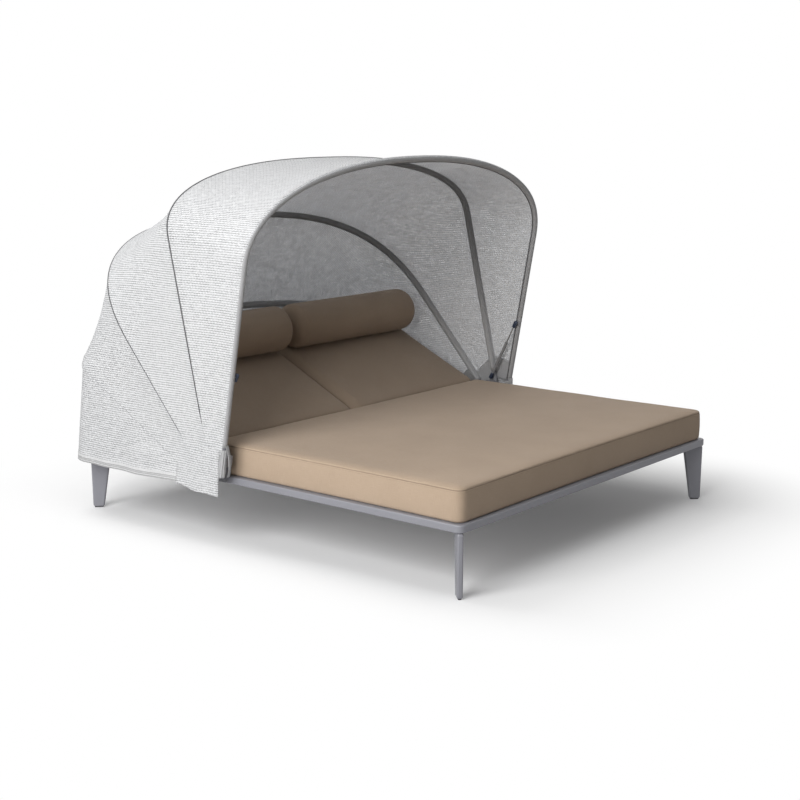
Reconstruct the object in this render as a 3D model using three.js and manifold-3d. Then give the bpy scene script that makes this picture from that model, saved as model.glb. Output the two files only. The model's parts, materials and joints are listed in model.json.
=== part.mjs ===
// Outdoor daybed for two with a folding canopy.
// A welded aluminium frame on four diagonal blade legs carries slatted decks, a full-width
// mattress and two backs that tilt on ratchet hinges. Four canopy hoops share one pivot on
// each side: the lowest is fixed, the other three fold back on to it under gas struts.
// Millimetres, +Z up, +X across the bed, the foot end toward -Y, the floor at Z 0.
import * as THREE from 'three';
import { mergeVertices } from 'three/addons/utils/BufferGeometryUtils.js';
import Module from 'manifold-3d';

const wasm = await Module();
wasm.setup();

// Fits that more than one piece uses
const seat = 0.3;
const cutOver = 4;
const weldOver = 3;
const cornerShare = 0.45;

// Welded base frame
const bed = { length: 2000, width: 1800, railTop: 273, railHeight: 30, railWidth: 46 };
const rail = { cornerRadius: 28, innerRadius: 8, edgeRound: 5, cornerSteps: 4 };
const beam = { width: 40, height: 18, centreWidth: 48 };
const beamPlaceShares = { seatBeam: 0.3, backBeam: 0.83 };
const deck = { height: 20, margin: 3, slat: 62, border: 26, seatSlats: 12, backSlats: 6 };

// Legs
const leg = { topWidth: 86, footWidth: 48, thickness: 22, cornerInset: 3, footLean: 3 };
const legEdge = { round: 6, footRound: 5 };
const glide = { height: 4, inset: 5, recess: 1, roundShare: 0.9 };

// Cushions
const cushion = { sideInset: 14, seamHeight: 116, crown: 24, cornerRadius: 34, drawIn: 7, waist: 4 };
const cushionHem = { round: 9, share: 0.3 };
const crownShares = [0.975, 0.93, 0.82, 0.6, 0.3];
const crownPower = 5;
const crease = { ahead: 55, halfGap: 5 };
const backCushion = { headInset: 17, frontFoot: 30, frontRake: 38 };
const bolster = { radius: 102, fromHead: 144, sink: 10, domeShare: 0.62 };
const bolsterEnd = { outerInset: 20, innerInset: 32 };

// Ratchet hinges of the backs, at a share of the bed's length
const hinge = { share: 0.649, drop: 21, raisedAngle: 25.5, beamGap: 6 };
const drum = { radius: 18, width: 9, pinRadius: 6 };
const leaf = { thickness: 5, height: 15, reach: 92, baseWidth: 26, inset: 60, play: 0.35 };
const flange = { width: 24, thickness: 3 };

// Canopy hoops, from the front one to the fixed rear one. The straight legs and the heights
// are shares of the bed's length, since the canopy has to reach round the raised backs.
const pivot = { ahead: 128.5, rise: 7, studRadius: 6, play: 0.3 };
const tube = { radius: 11, outboard: 62.5, sides: 8, legSteps: 4, archSteps: 32 };
const hoopPitch = 34;
const hoopShapes = [
  { name: 'hoop_1', lean: 10.3, legShare: 0.4245, heightShare: 0.618, squareness: 2.26 },
  { name: 'hoop_2', lean: -12.7, legShare: 0.4665, heightShare: 0.608, squareness: 2.41 },
  { name: 'hoop_3', lean: -41.1, legShare: 0.313, heightShare: 0.6205, squareness: 2.68 },
  { name: 'hoop_4', lean: -61.2, legShare: 0.385, heightShare: 0.5415, squareness: 2.05 },
];

// Hoop feet: a knuckle plate on the pivot and a socket for the tube
const plate = { thickness: 4, pitch: 4.5, bossRadius: 22 };
const socket = { outerRadius: 13.8, play: 0.3, start: 60, end: 117, tubeStart: 70, tongueOver: 13 };
const block = { start: 55, end: 98, width: 24 };
const lock = { forward: -30, up: 40, radius: 4, height: 3.6 };

// Pivot brackets on the side rails
const bracket = { thickness: 5, front: 30, rear: 124, foot: 34, shoulder: 34, top: 120, topWidth: 44 };
const bracketCorner = 14;
const bracketBolt = { radius: 5.5, height: 3.4, front: 20, pitch: 132, drop: 22 };
const capNut = { radius: 10, length: 10, domeShare: 0.55 };

// Gas struts between the first and second hoops
const strut = { lower: 131.5, upper: 420, outboard: 35.5, studRadius: 4, studPlay: 0.35 };
const strutBody = { radius: 7, length: 182, boreRadius: 3.6, boreDepth: 92, neck: 16, neckRadius: 4.5 };
const strutRod = { radius: 3.2, inside: 62, eyeRadius: 8, eyeThickness: 9, neckRadius: 4.2, neck: 18 };
const saddle = { radius: 14, length: 24, play: 0.3, wrap: 3 };

// Canopy cloth
const cloth = { standOff: 12.1, thickness: 2.5, edgeGap: 0.5, leave: 3, start: 120 };
const clothFall = { sagShare: 0.026, rows: 3 };
const skirt = { frontAhead: 24.5, notchAhead: 41.5, rearOut: 46, rearRadius: 118, leaveShare: 0.06 };
const hemLine = { height: 203, rise: 22, riseLength: 300 };
const fold = { depth: 6, pitch: 190, clear: 1 };

// Colours
const frameMetal = new THREE.MeshStandardMaterial({ color: 0xb4b5ba, roughness: 0.45, metalness: 0.35 });
const castMetal = new THREE.MeshStandardMaterial({ color: 0xa6a8ad, roughness: 0.5, metalness: 0.4 });
const zincSteel = new THREE.MeshStandardMaterial({ color: 0x8f9296, roughness: 0.35, metalness: 0.9 });
const strutPaint = new THREE.MeshStandardMaterial({ color: 0x3a3d44, roughness: 0.4, metalness: 0.3 });
const padCloth = new THREE.MeshStandardMaterial({ color: 0xb49f86, roughness: 0.95, metalness: 0 });
const meshCloth = new THREE.MeshStandardMaterial({ color: 0xe9e9e6, roughness: 0.9, metalness: 0 });
const glideNylon = new THREE.MeshStandardMaterial({ color: 0x303234, roughness: 0.7, metalness: 0 });

const part = new THREE.Group();
const halfOf = (value) => value / 2;

// Places that follow from the bed's size: across it, then along it
const railFoot = bed.railTop - bed.railHeight;
const halfWidth = halfOf(bed.width);
const halfSpan = halfWidth + tube.outboard;
const strutLayer = halfWidth + strut.outboard;
const hingeY = bed.length * hinge.share;
const hingeZ = bed.railTop - hinge.drop;
const creaseY = hingeY - crease.ahead;
const pivotY = hingeY - pivot.ahead;
const pivotZ = bed.railTop + pivot.rise;
const skirtFrontY = pivotY - skirt.frontAhead;
const skirtNotchY = pivotY - skirt.notchAhead;
const skirtRearY = bed.length + skirt.rearOut;
const hoops = hoopShapes.map(({ legShare, heightShare, ...hoop }) => (
  { ...hoop, leg: bed.length * legShare, height: bed.length * heightShare }));

// Named mesh in a parent group
function add(parent, name, geometry, material) {
  const mesh = new THREE.Mesh(geometry, material);
  mesh.name = name;
  parent.add(mesh);
  return mesh;
}

// Solid of a closed geometry, for cutting and joining
function solidOf(geometry) {
  const bare = geometry.clone();
  bare.deleteAttribute('normal');
  bare.deleteAttribute('uv');
  const merged = mergeVertices(bare);
  const triVerts = Uint32Array.from(merged.index.array);
  const vertProperties = Float32Array.from(merged.attributes.position.array);
  return new wasm.Manifold(new wasm.Mesh({ numProp: 3, vertProperties, triVerts }));
}

function geometryOf(solid) {
  const mesh = solid.getMesh();
  const geometry = new THREE.BufferGeometry();
  geometry.setAttribute('position', new THREE.BufferAttribute(Float32Array.from(mesh.vertProperties), 3));
  geometry.setIndex([...mesh.triVerts]);
  geometry.computeVertexNormals();
  return geometry;
}

// Joins the added geometries and takes the cuts away
function weld(added, cuts = []) {
  let solid = solidOf(added[0]);
  for (const geometry of added.slice(1)) solid = solid.add(solidOf(geometry));
  for (const geometry of cuts) solid = solid.subtract(solidOf(geometry));
  return geometryOf(solid);
}

// Closed geometry from points and faces, turned right side out
function closedGeometry(points, faces) {
  let volume = 0;
  for (const [a, b, c] of faces) {
    volume += points[a].dot(new THREE.Vector3().crossVectors(points[b], points[c]));
  }
  const turned = volume < 0 ? faces.map(([a, b, c]) => [a, c, b]) : faces;
  const geometry = new THREE.BufferGeometry().setFromPoints(points);
  geometry.setIndex(turned.flat());
  geometry.computeVertexNormals();
  return geometry;
}

// The same piece on the other side of the bed
function mirrored(geometry) {
  const twin = geometry.index ? geometry.clone() : mergeVertices(geometry);
  twin.scale(-1, 1, 1);
  const index = twin.index.array;
  for (let i = 0; i < index.length; i += 3) [index[i], index[i + 1]] = [index[i + 1], index[i]];
  twin.computeVertexNormals();
  return twin;
}

function box(x0, x1, y0, y1, z0, z1) {
  const geometry = new THREE.BoxGeometry(x1 - x0, y1 - y0, z1 - z0);
  return geometry.translate(halfOf(x0 + x1), halfOf(y0 + y1), halfOf(z0 + z1));
}

// Round bar along X
function barX(radius, x0, x1, y, z, sides = 14) {
  const geometry = new THREE.CylinderGeometry(radius, radius, x1 - x0, sides);
  return geometry.rotateZ(halfOf(Math.PI)).translate(halfOf(x0 + x1), y, z);
}

// Round bar along Z
function barZ(radius, x, y, z0, z1, sides = 12) {
  const geometry = new THREE.CylinderGeometry(radius, radius, z1 - z0, sides);
  return geometry.rotateX(halfOf(Math.PI)).translate(x, y, halfOf(z0 + z1));
}

// Profile in the YZ plane, extruded along X
function slabX(shape, x0, x1) {
  const settings = { depth: x1 - x0, bevelEnabled: false, curveSegments: 6 };
  const geometry = new THREE.ExtrudeGeometry(shape, settings);
  const axes = [new THREE.Vector3(0, 1, 0), new THREE.Vector3(0, 0, 1), new THREE.Vector3(1, 0, 0)];
  geometry.applyMatrix4(new THREE.Matrix4().makeBasis(...axes));
  return geometry.translate(x0, 0, 0);
}

// Rectangle with round corners, as a shape or a hole
function roundRect(target, x0, x1, y0, y1, radius) {
  target.moveTo(x0 + radius, y0);
  target.lineTo(x1 - radius, y0);
  target.absarc(x1 - radius, y0 + radius, radius, -halfOf(Math.PI), 0);
  target.lineTo(x1, y1 - radius);
  target.absarc(x1 - radius, y1 - radius, radius, 0, halfOf(Math.PI));
  target.lineTo(x0 + radius, y1);
  target.absarc(x0 + radius, y1 - radius, radius, halfOf(Math.PI), Math.PI);
  target.lineTo(x0, y0 + radius);
  target.absarc(x0 + radius, y0 + radius, radius, Math.PI, 1.5 * Math.PI);
  return target;
}

// Polygon with its corners rounded by arcs that the two edges touch
function roundedPolygon(points, radius) {
  const shape = new THREE.Shape();
  points.forEach(([y, z], i) => {
    const corner = new THREE.Vector2(y, z);
    const before = new THREE.Vector2(...points[(i + points.length - 1) % points.length]).sub(corner);
    const after = new THREE.Vector2(...points[(i + 1) % points.length]).sub(corner);
    const reach = Math.min(radius, cornerShare * before.length(), cornerShare * after.length());
    const a = corner.clone().add(before.setLength(reach));
    const b = corner.clone().add(after.setLength(reach));
    if (i === 0) shape.moveTo(a.x, a.y);
    else shape.lineTo(a.x, a.y);
    shape.quadraticCurveTo(corner.x, corner.y, b.x, b.y);
  });
  return shape;
}

// Base frame: rounded ring, two cross beams, the hinge beam and a centre beam, welded as one
const deckBottom = bed.railTop - deck.height;
const beamTop = deckBottom - seat;
const beamBottom = beamTop - beam.height;
const seatBeamY = bed.length * beamPlaceShares.seatBeam;
const backBeamY = bed.length * beamPlaceShares.backBeam;
const hingeBeamFront = hingeY - drum.radius - hinge.beamGap - beam.width;

function ringPath(target, inset, radius) {
  return roundRect(target, inset - halfWidth, halfWidth - inset, inset, bed.length - inset, radius);
}

function baseFrame() {
  const outline = ringPath(new THREE.Shape(), rail.edgeRound, rail.cornerRadius - rail.edgeRound);
  const inside = bed.railWidth - rail.edgeRound;
  outline.holes.push(ringPath(new THREE.Path(), inside, rail.innerRadius + rail.edgeRound));
  const ring = new THREE.ExtrudeGeometry(outline, {
    depth: bed.railHeight - 2 * rail.edgeRound,
    bevelThickness: rail.edgeRound,
    bevelSize: rail.edgeRound,
    bevelSegments: 2,
    curveSegments: rail.cornerSteps,
  });
  ring.translate(0, 0, railFoot + rail.edgeRound);
  const reach = halfWidth - bed.railWidth + weldOver;
  const beams = [seatBeamY, hingeBeamFront, backBeamY].map((y) =>
    box(-reach, reach, y, y + beam.width, beamBottom, beamTop));
  const half = halfOf(beam.centreWidth);
  const inner = bed.railWidth - weldOver;
  beams.push(box(-half, half, inner, bed.length - inner, beamBottom, beamTop));
  return weld([ring, ...beams]);
}
const base = new THREE.Group();
part.add(base);
add(base, 'base_frame', baseFrame(), frameMetal);

function squareHole(x0, x1, y0, y1) {
  return new THREE.Path([[x0, y0], [x0, y1], [x1, y1], [x1, y0]].map(([x, y]) => new THREE.Vector2(x, y)));
}

// Slatted deck panel: a plate with a row of slots, lying on the beams
function slatPanel(x0, x1, y0, y1, z0, z1, slats) {
  const shape = new THREE.Shape();
  shape.moveTo(x0, y0);
  shape.lineTo(x1, y0);
  shape.lineTo(x1, y1);
  shape.lineTo(x0, y1);
  shape.closePath();
  const pitch = (y1 - y0 - 2 * deck.border + deck.slat) / slats;
  const width = pitch - deck.slat;
  for (let i = 0; i < slats; i += 1) {
    const y = y0 + deck.border + i * pitch;
    shape.holes.push(squareHole(x0 + deck.border, x1 - deck.border, y, y + width));
  }
  const settings = { depth: z1 - z0, bevelEnabled: false, curveSegments: 1 };
  const geometry = new THREE.ExtrudeGeometry(shape, settings);
  return geometry.translate(0, 0, z0);
}
const deckOuter = halfWidth - bed.railWidth - deck.margin;
const deckInner = deck.margin;
const deckTop = bed.railTop;
const seatDeckRear = hingeBeamFront + beam.width;
const seatDeckFront = bed.railWidth + deck.margin;
const seatDeck = slatPanel(
  deckInner, deckOuter, seatDeckFront, seatDeckRear, deckBottom, deckTop, deck.seatSlats);
add(base, 'seat_deck_right', seatDeck, frameMetal);
add(base, 'seat_deck_left', mirrored(seatDeck), frameMetal);

// Legs: a flat blade set at 45 degrees under each corner, tapering to the foot
function legBlade() {
  const top = railFoot - seat - legEdge.round;
  const foot = glide.height - glide.recess + legEdge.round;
  const shape = roundedPolygon([
    [legEdge.round, top], [leg.footLean + legEdge.round, foot],
    [leg.footLean + leg.footWidth - legEdge.round, foot], [leg.topWidth - legEdge.round, top],
  ], legEdge.footRound);
  const geometry = new THREE.ExtrudeGeometry(shape, {
    depth: leg.thickness - 2 * legEdge.round,
    bevelThickness: legEdge.round,
    bevelSize: legEdge.round,
    bevelSegments: 2,
    curveSegments: 2,
  });
  const upright = new THREE.Matrix4().makeBasis(
    new THREE.Vector3(1, 0, 0), new THREE.Vector3(0, 0, 1), new THREE.Vector3(0, -1, 0));
  geometry.translate(0, 0, legEdge.round - halfOf(leg.thickness)).applyMatrix4(upright);
  const pocket = glidePad(seat, glide.height);
  return weld([geometry], [pocket]);
}

// Nylon pad let into the foot of a leg
function glidePad(play, top) {
  const x0 = leg.footLean + glide.inset - play;
  const x1 = leg.footLean + leg.footWidth - glide.inset + play;
  const half = halfOf(leg.thickness) - glide.inset + play;
  const shape = roundRect(new THREE.Shape(), x0, x1, -half, half, glide.roundShare * half);
  const geometry = new THREE.ExtrudeGeometry(shape, { depth: top, bevelEnabled: false, curveSegments: 3 });
  return geometry;
}
const cornerReach = (rail.cornerRadius * (Math.SQRT2 - 1)) / Math.SQRT2 + leg.cornerInset;
const corners = [
  { name: 'foot_right', x: 1, y: 0, turn: 0.75 * Math.PI },
  { name: 'head_right', x: 1, y: 1, turn: 1.25 * Math.PI },
  { name: 'head_left', x: -1, y: 1, turn: 1.75 * Math.PI },
  { name: 'foot_left', x: -1, y: 0, turn: 0.25 * Math.PI },
];
for (const corner of corners) {
  const stand = new THREE.Group();
  const inward = corner.y === 0 ? cornerReach : bed.length - cornerReach;
  stand.position.set(corner.x * (halfWidth - cornerReach), inward, 0);
  stand.rotation.z = corner.turn;
  base.add(stand);
  add(stand, `leg_${corner.name}`, legBlade(), frameMetal);
  add(stand, `glide_${corner.name}`, glidePad(0, glide.height - seat), glideNylon);
}

// Cushion: rings of a rounded rectangle, waisted at the side and crowned above the seam.
// rake pushes the front face back as it rises.
function cushionSolid(x0, x1, y0, y1, foot, rake) {
  const halfX = halfOf(x1 - x0);
  const halfY = halfOf(y1 - y0);
  const seam = foot + cushion.seamHeight;
  const ring = (inset, z, share) => {
    const points = [];
    const sideSteps = 6;
    const arcs = 2;
    const radius = cushion.cornerRadius;
    const reachX = halfX - inset - radius;
    const reachY = halfY - inset - radius;
    const centres = [[reachX, -reachY], [reachX, reachY], [-reachX, reachY], [-reachX, -reachY]];
    centres.forEach(([cx, cy], i) => {
      for (let a = 0; a <= arcs; a += 1) {
        const angle = halfOf(Math.PI) * (i - 1 + a / arcs);
        points.push([cx + radius * Math.cos(angle), cy + radius * Math.sin(angle)]);
      }
      const [nx, ny] = centres[(i + 1) % 4];
      const side = halfOf(Math.PI) * i;
      for (let s = 1; s < sideSteps; s += 1) {
        const f = s / sideSteps;
        const pull = radius - 4 * cushion.drawIn * f * (1 - f);
        points.push([cx + (nx - cx) * f + pull * Math.cos(side), cy + (ny - cy) * f + pull * Math.sin(side)]);
      }
    });
    const middle = halfOf(y0 + y1);
    return points.map(([x, y]) => {
      const front = halfOf(1 - y / halfY);
      const push = rake * Math.min((z - foot) / cushion.seamHeight, 1) * front;
      return new THREE.Vector3(halfOf(x0 + x1) + x * share, middle + y * share + push, z);
    });
  };
  const rings = [
    ring(cushionHem.round, foot, 1),
    ring(cushionHem.round * cushionHem.share, foot + cushionHem.round * cushionHem.share, 1),
    ring(0, foot + cushionHem.round, 1),
    ring(cushion.waist, foot + halfOf(cushion.seamHeight), 1),
    ring(0, seam - cushion.waist, 1),
    ring(0, seam, 1),
  ];
  for (const share of crownShares) {
    rings.push(ring(0, seam + cushion.crown * (1 - share ** crownPower), share));
  }
  return ringSolid(rings);
}

// Closed solid through a stack of rings with equal counts, capped by fans
function ringSolid(rings) {
  const count = rings[0].length;
  const points = rings.flat();
  const faces = [];
  for (let r = 0; r + 1 < rings.length; r += 1) {
    for (let i = 0; i < count; i += 1) {
      const a = r * count + i;
      const b = r * count + ((i + 1) % count);
      faces.push([a, b, b + count], [a, b + count, a + count]);
    }
  }
  for (const [r, flip] of [[0, true], [rings.length - 1, false]]) {
    const centre = rings[r].reduce((sum, point) => sum.add(point), new THREE.Vector3()).divideScalar(count);
    points.push(centre);
    for (let i = 0; i < count; i += 1) {
      const a = r * count + i;
      const b = r * count + ((i + 1) % count);
      faces.push(flip ? [points.length - 1, b, a] : [points.length - 1, a, b]);
    }
  }
  return closedGeometry(points, faces);
}
const padFoot = bed.railTop + seat;
const padSide = halfWidth - cushion.sideInset;
const padRear = creaseY - crease.halfGap;
const mattress = cushionSolid(-padSide, padSide, cushion.sideInset, padRear, padFoot, 0);
add(base, 'seat_mattress', mattress, padCloth);

// Backs: a slatted panel on two ratchet hinges, with its cushion and bolster.
// They are drawn lying flat, about their hinge axis, and raised as one group.
function backGroup(side) {
  const group = new THREE.Group();
  group.position.set(0, hingeY, hingeZ);
  group.rotation.x = THREE.MathUtils.degToRad(hinge.raisedAngle);
  const mirror = side === 'left' ? mirrored : (geometry) => geometry;
  const front = drum.radius + deck.margin;
  const rear = bed.length - bed.railWidth - deck.margin - hingeY;
  const bottom = deckBottom - hingeZ;
  const panel = slatPanel(deckInner, deckOuter, front, rear, bottom, deckTop - hingeZ, deck.backSlats);
  add(group, `back_panel_${side}`, mirror(panel), frameMetal);

  const head = bed.length - backCushion.headInset - hingeY;
  const foot = padFoot - hingeZ;
  const { frontFoot, frontRake } = backCushion;
  const pad = cushionSolid(halfOf(deck.margin), padSide, frontFoot, head, foot, frontRake);
  add(group, `back_cushion_${side}`, mirror(pad), padCloth);
  add(group, `bolster_${side}`, mirror(bolsterRoll(foot, head)), padCloth);

  for (const [place, x] of hingePlaces) {
    add(group, `hinge_back_leaf_${side}_${place}`, mirror(backLeaf(x, bottom)), zincSteel);
  }
  return group;
}

// Round bolster with domed ends, flattened a little where it lies on the back cushion
function bolsterRoll(foot, head) {
  const { radius, sink } = bolster;
  const length = halfWidth - bolsterEnd.outerInset - bolsterEnd.innerInset;
  const dome = radius * bolster.domeShare;
  const profile = [];
  const steps = 5;
  for (let i = 0; i <= steps; i += 1) {
    const angle = halfOf(Math.PI) * (i / steps);
    profile.push(new THREE.Vector2(radius * Math.sin(angle), -halfOf(length) + dome * (1 - Math.cos(angle))));
  }
  const other = profile.map((point) => new THREE.Vector2(point.x, -point.y)).reverse();
  const outline = [...profile, ...other];
  for (const point of [outline[0], outline.at(-1)]) point.setX(0);
  const top = foot + cushion.seamHeight + cushion.crown;
  const along = head - bolster.fromHead;
  const z = top + radius - sink;
  const x = halfWidth - bolsterEnd.outerInset - halfOf(length);
  const roll = new THREE.LatheGeometry(outline, 20).rotateZ(halfOf(Math.PI)).translate(x, along, z);
  const under = box(x - length, x + length, along - length, along + length, top - length, top + seat);
  return weld([roll], [under]);
}
const raised = THREE.MathUtils.degToRad(hinge.raisedAngle);

// Ratchet hinge leaf on the back: a drum with an arm and a flange under the panel
const hingePlaces = [
  ['inner', deckInner + leaf.inset],
  ['outer', deckOuter - leaf.inset - flange.width],
];

function armShape(z0, z1, reach) {
  const shape = new THREE.Shape();
  const upper = Math.asin(z1 / drum.radius);
  const lower = Math.asin(z0 / drum.radius);
  const sign = Math.sign(reach);
  const start = sign > 0 ? upper : Math.PI - upper;
  const end = sign > 0 ? lower : Math.PI - lower;
  shape.moveTo(reach, z1);
  shape.absarc(0, 0, drum.radius, start, end, sign < 0);
  shape.lineTo(reach, z0);
  shape.closePath();
  return shape;
}

function backLeaf(x, panelBottom) {
  const top = panelBottom - seat;
  const bottom = top - leaf.height;
  const arm = slabX(armShape(bottom, top, leaf.reach), x, x + leaf.thickness);
  const barrel = barX(drum.radius, x, x + drum.width, 0, 0, 18);
  const flangeFront = drum.radius + deck.margin;
  const pad = box(x, x + flange.width, flangeFront, leaf.reach, top - flange.thickness, top);
  const bore = barX(drum.pinRadius + leaf.play, x - cutOver, x + drum.width + cutOver, 0, 0);
  return weld([arm, barrel, pad], [bore]);
}

// Fixed leaf on the hinge beam: its arm carries the hinge pin
function baseLeaf(x) {
  const outer = x - seat;
  const inner = outer - leaf.thickness;
  const beamRear = hingeBeamFront + beam.width - hingeY;
  const top = beamTop - hingeZ;
  const bottom = beamBottom - hingeZ;
  const foot = beamRear + seat;
  const arm = slabX(armShape(bottom, top, foot), inner, outer);
  const pad = box(inner - leaf.baseWidth, outer, foot, foot + flange.thickness, bottom, top);
  const pin = barX(drum.pinRadius, inner, x + drum.width + leaf.thickness, 0, 0);
  return weld([arm, pad, pin]).translate(0, hingeY, hingeZ);
}
for (const side of ['left', 'right']) {
  const mirror = side === 'left' ? mirrored : (geometry) => geometry;
  for (const [place, x] of hingePlaces) {
    add(base, `hinge_base_leaf_${side}_${place}`, mirror(baseLeaf(x)), zincSteel);
  }
  part.add(backGroup(side));
}

// Canopy hoop centre line, upright in its own plane: two straight legs and a super-ellipse arch.
// Stations are spread by angle, so the tight shoulders get the most.
class HoopCurve extends THREE.Curve {
  constructor(hoop, start, forward) {
    super();
    Object.assign(this, { hoop, start, forward });
    this.total = 2 * tube.legSteps + tube.archSteps;
  }

  getUtoTmapping(u) {
    return u;
  }

  // Place and outward direction at t, from the right foot over the top to the left foot
  station(t) {
    const { hoop, start } = this;
    const step = t * this.total;
    const up = (steps) => start + ((hoop.leg - start) * steps) / tube.legSteps;
    if (step < tube.legSteps) return { x: halfSpan, z: up(step), nx: 1, nz: 0 };
    if (step > this.total - tube.legSteps) return { x: -halfSpan, z: up(this.total - step), nx: -1, nz: 0 };
    const angle = (Math.PI * (step - tube.legSteps)) / tube.archSteps;
    const power = 2 / hoop.squareness;
    const across = Math.sign(Math.cos(angle)) * Math.abs(Math.cos(angle)) ** power;
    const high = Math.abs(Math.sin(angle)) ** power;
    const rise = hoop.height - hoop.leg;
    const slope = (value) => Math.abs(value) ** (hoop.squareness - 1);
    const normal = new THREE.Vector2((Math.sign(across) * slope(across)) / halfSpan, slope(high) / rise);
    normal.normalize();
    return { x: halfSpan * across, z: hoop.leg + rise * high, nx: normal.x, nz: normal.y };
  }

  getPoint(t, target = new THREE.Vector3()) {
    const { x, z } = this.station(Math.min(Math.max(t, 0), 1));
    return target.set(x, -this.forward, z);
  }
}
const forwardOf = (k) => hoopPitch * (halfOf(hoops.length - 1) - k);

function roundSection(radius, sides) {
  const points = [];
  for (let i = 0; i < sides; i += 1) {
    const angle = (2 * Math.PI * (i + 0.5)) / sides;
    points.push(new THREE.Vector2(radius * Math.cos(angle), radius * Math.sin(angle)));
  }
  return new THREE.Shape(points);
}

// Layers across the pivot: bracket, then the knuckle plates from the fixed hoop outward
const bracketInner = halfWidth + seat;
const bracketOuter = bracketInner + bracket.thickness;
const plateGap = plate.pitch - plate.thickness;
const layerOf = (k) => bracketOuter + plateGap + plate.pitch * (hoops.length - 1 - k);
const stackOuter = layerOf(0) + plate.thickness;

// Outline that joins the pivot boss to the root of the block that carries the socket
function knuckleShape(forward) {
  const boss = plate.bossRadius;
  const half = halfOf(block.width);
  const points = [];
  const steps = 16;
  for (let i = 0; i < steps; i += 1) {
    const angle = (2 * Math.PI * i) / steps;
    points.push([boss * Math.cos(angle), boss * Math.sin(angle)]);
  }
  for (const y of [-forward - half, -forward + half]) points.push([y, block.start + weldOver]);
  const shape = new THREE.Shape(convexHull(points));
  const bore = new THREE.Path();
  bore.absarc(0, 0, pivot.studRadius + pivot.play, 0, 2 * Math.PI, true);
  shape.holes.push(bore);
  return shape;
}

function convexHull(points) {
  const sorted = [...points].sort((a, b) => a[0] - b[0] || a[1] - b[1]);
  const turn = (o, a, b) => (a[0] - o[0]) * (b[1] - o[1]) - (a[1] - o[1]) * (b[0] - o[0]);
  const chain = (list) => {
    const kept = [];
    for (const p of list) {
      while (kept.length > 1 && turn(kept.at(-2), kept.at(-1), p) <= 0) kept.pop();
      kept.push(p);
    }
    return kept.slice(0, -1);
  };
  return [...chain(sorted), ...chain(sorted.reverse())].map(([y, z]) => new THREE.Vector2(y, z));
}

// Cast foot of a hoop, on the right side
function hoopFoot(k) {
  const forward = forwardOf(k);
  const inner = layerOf(k);
  const half = halfOf(block.width);
  const added = [
    slabX(knuckleShape(forward), inner, inner + plate.thickness),
    box(inner, halfSpan, -forward - half, -forward + half, block.start, block.end),
    barZ(socket.outerRadius, halfSpan, -forward, socket.start, socket.end),
  ];
  const boreEnd = Math.max(socket.end, strut.lower + socket.tongueOver) + cutOver;
  const cuts = [barZ(tube.radius + socket.play, halfSpan, -forward, socket.tubeStart - seat, boreEnd)];
  if (hoops[k].name === 'hoop_2') {
    const tip = strutLayer - halfOf(strutRod.eyeThickness);
    const tongueEnd = strut.lower + socket.tongueOver;
    added.push(
      barX(strut.studRadius, tip, halfSpan - tube.radius - socket.play, -forward, strut.lower, 12),
      barZ(socket.outerRadius, halfSpan, -forward, socket.end - weldOver, tongueEnd));
    const outer = halfSpan + socket.outerRadius + cutOver;
    const side = block.width;
    cuts.push(box(halfSpan, outer, -forward - side, -forward + side, socket.end, tongueEnd + cutOver));
  }
  if (hoops[k].name === 'hoop_4') {
    const outer = inner + plate.thickness + cutOver;
    cuts.push(barX(lock.radius + pivot.play, inner - cutOver, outer, -lock.forward, lock.up, 12));
  }
  return weld(added, cuts);
}

// Hoop tubes and their feet, each hoop upright in a group that leans about the pivot
const hoopGroups = hoops.map((hoop, k) => {
  const group = new THREE.Group();
  group.position.set(0, pivotY, pivotZ);
  group.rotation.x = THREE.MathUtils.degToRad(hoop.lean);
  part.add(group);
  const path = new HoopCurve(hoop, socket.tubeStart, forwardOf(k));
  const settings = { steps: path.total, extrudePath: path };
  const bent = new THREE.ExtrudeGeometry(roundSection(tube.radius, tube.sides), settings);
  add(group, `${hoop.name}_tube`, bent, frameMetal);
  const foot = hoopFoot(k);
  add(group, `${hoop.name}_foot_right`, foot, castMetal);
  add(group, `${hoop.name}_foot_left`, mirrored(foot), castMetal);
  return group;
});
part.updateMatrixWorld(true);

// Pivot bracket: a plate on the outside of the side rail with the pivot stud welded in
function pivotBracket() {
  const y = pivotY;
  const z = pivotZ;
  const outline = roundedPolygon([
    [y - bracket.front, z - bracket.foot], [y + bracket.rear, z - bracket.foot],
    [y + bracket.rear, z + bracket.shoulder], [y - bracket.front + bracket.topWidth, z + bracket.top],
    [y - bracket.front, z + bracket.top],
  ], bracketCorner);
  const added = [
    slabX(outline, bracketInner, bracketOuter),
    barX(pivot.studRadius, bracketInner, stackOuter + plateGap, y, z),
  ];
  const lockAt = new THREE.Vector3(0, -lock.forward, lock.up).applyMatrix4(hoopGroups[3].matrixWorld);
  added.push(barX(lock.radius, bracketInner, bracketOuter + lock.height, lockAt.y, lockAt.z, 12));
  for (let i = 0; i < 2; i += 1) {
    const boltY = y - bracketBolt.front + i * bracketBolt.pitch;
    const head = bracketOuter + bracketBolt.height;
    added.push(barX(bracketBolt.radius, bracketInner, head, boltY, z - bracketBolt.drop, 12));
  }
  return weld(added);
}

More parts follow.
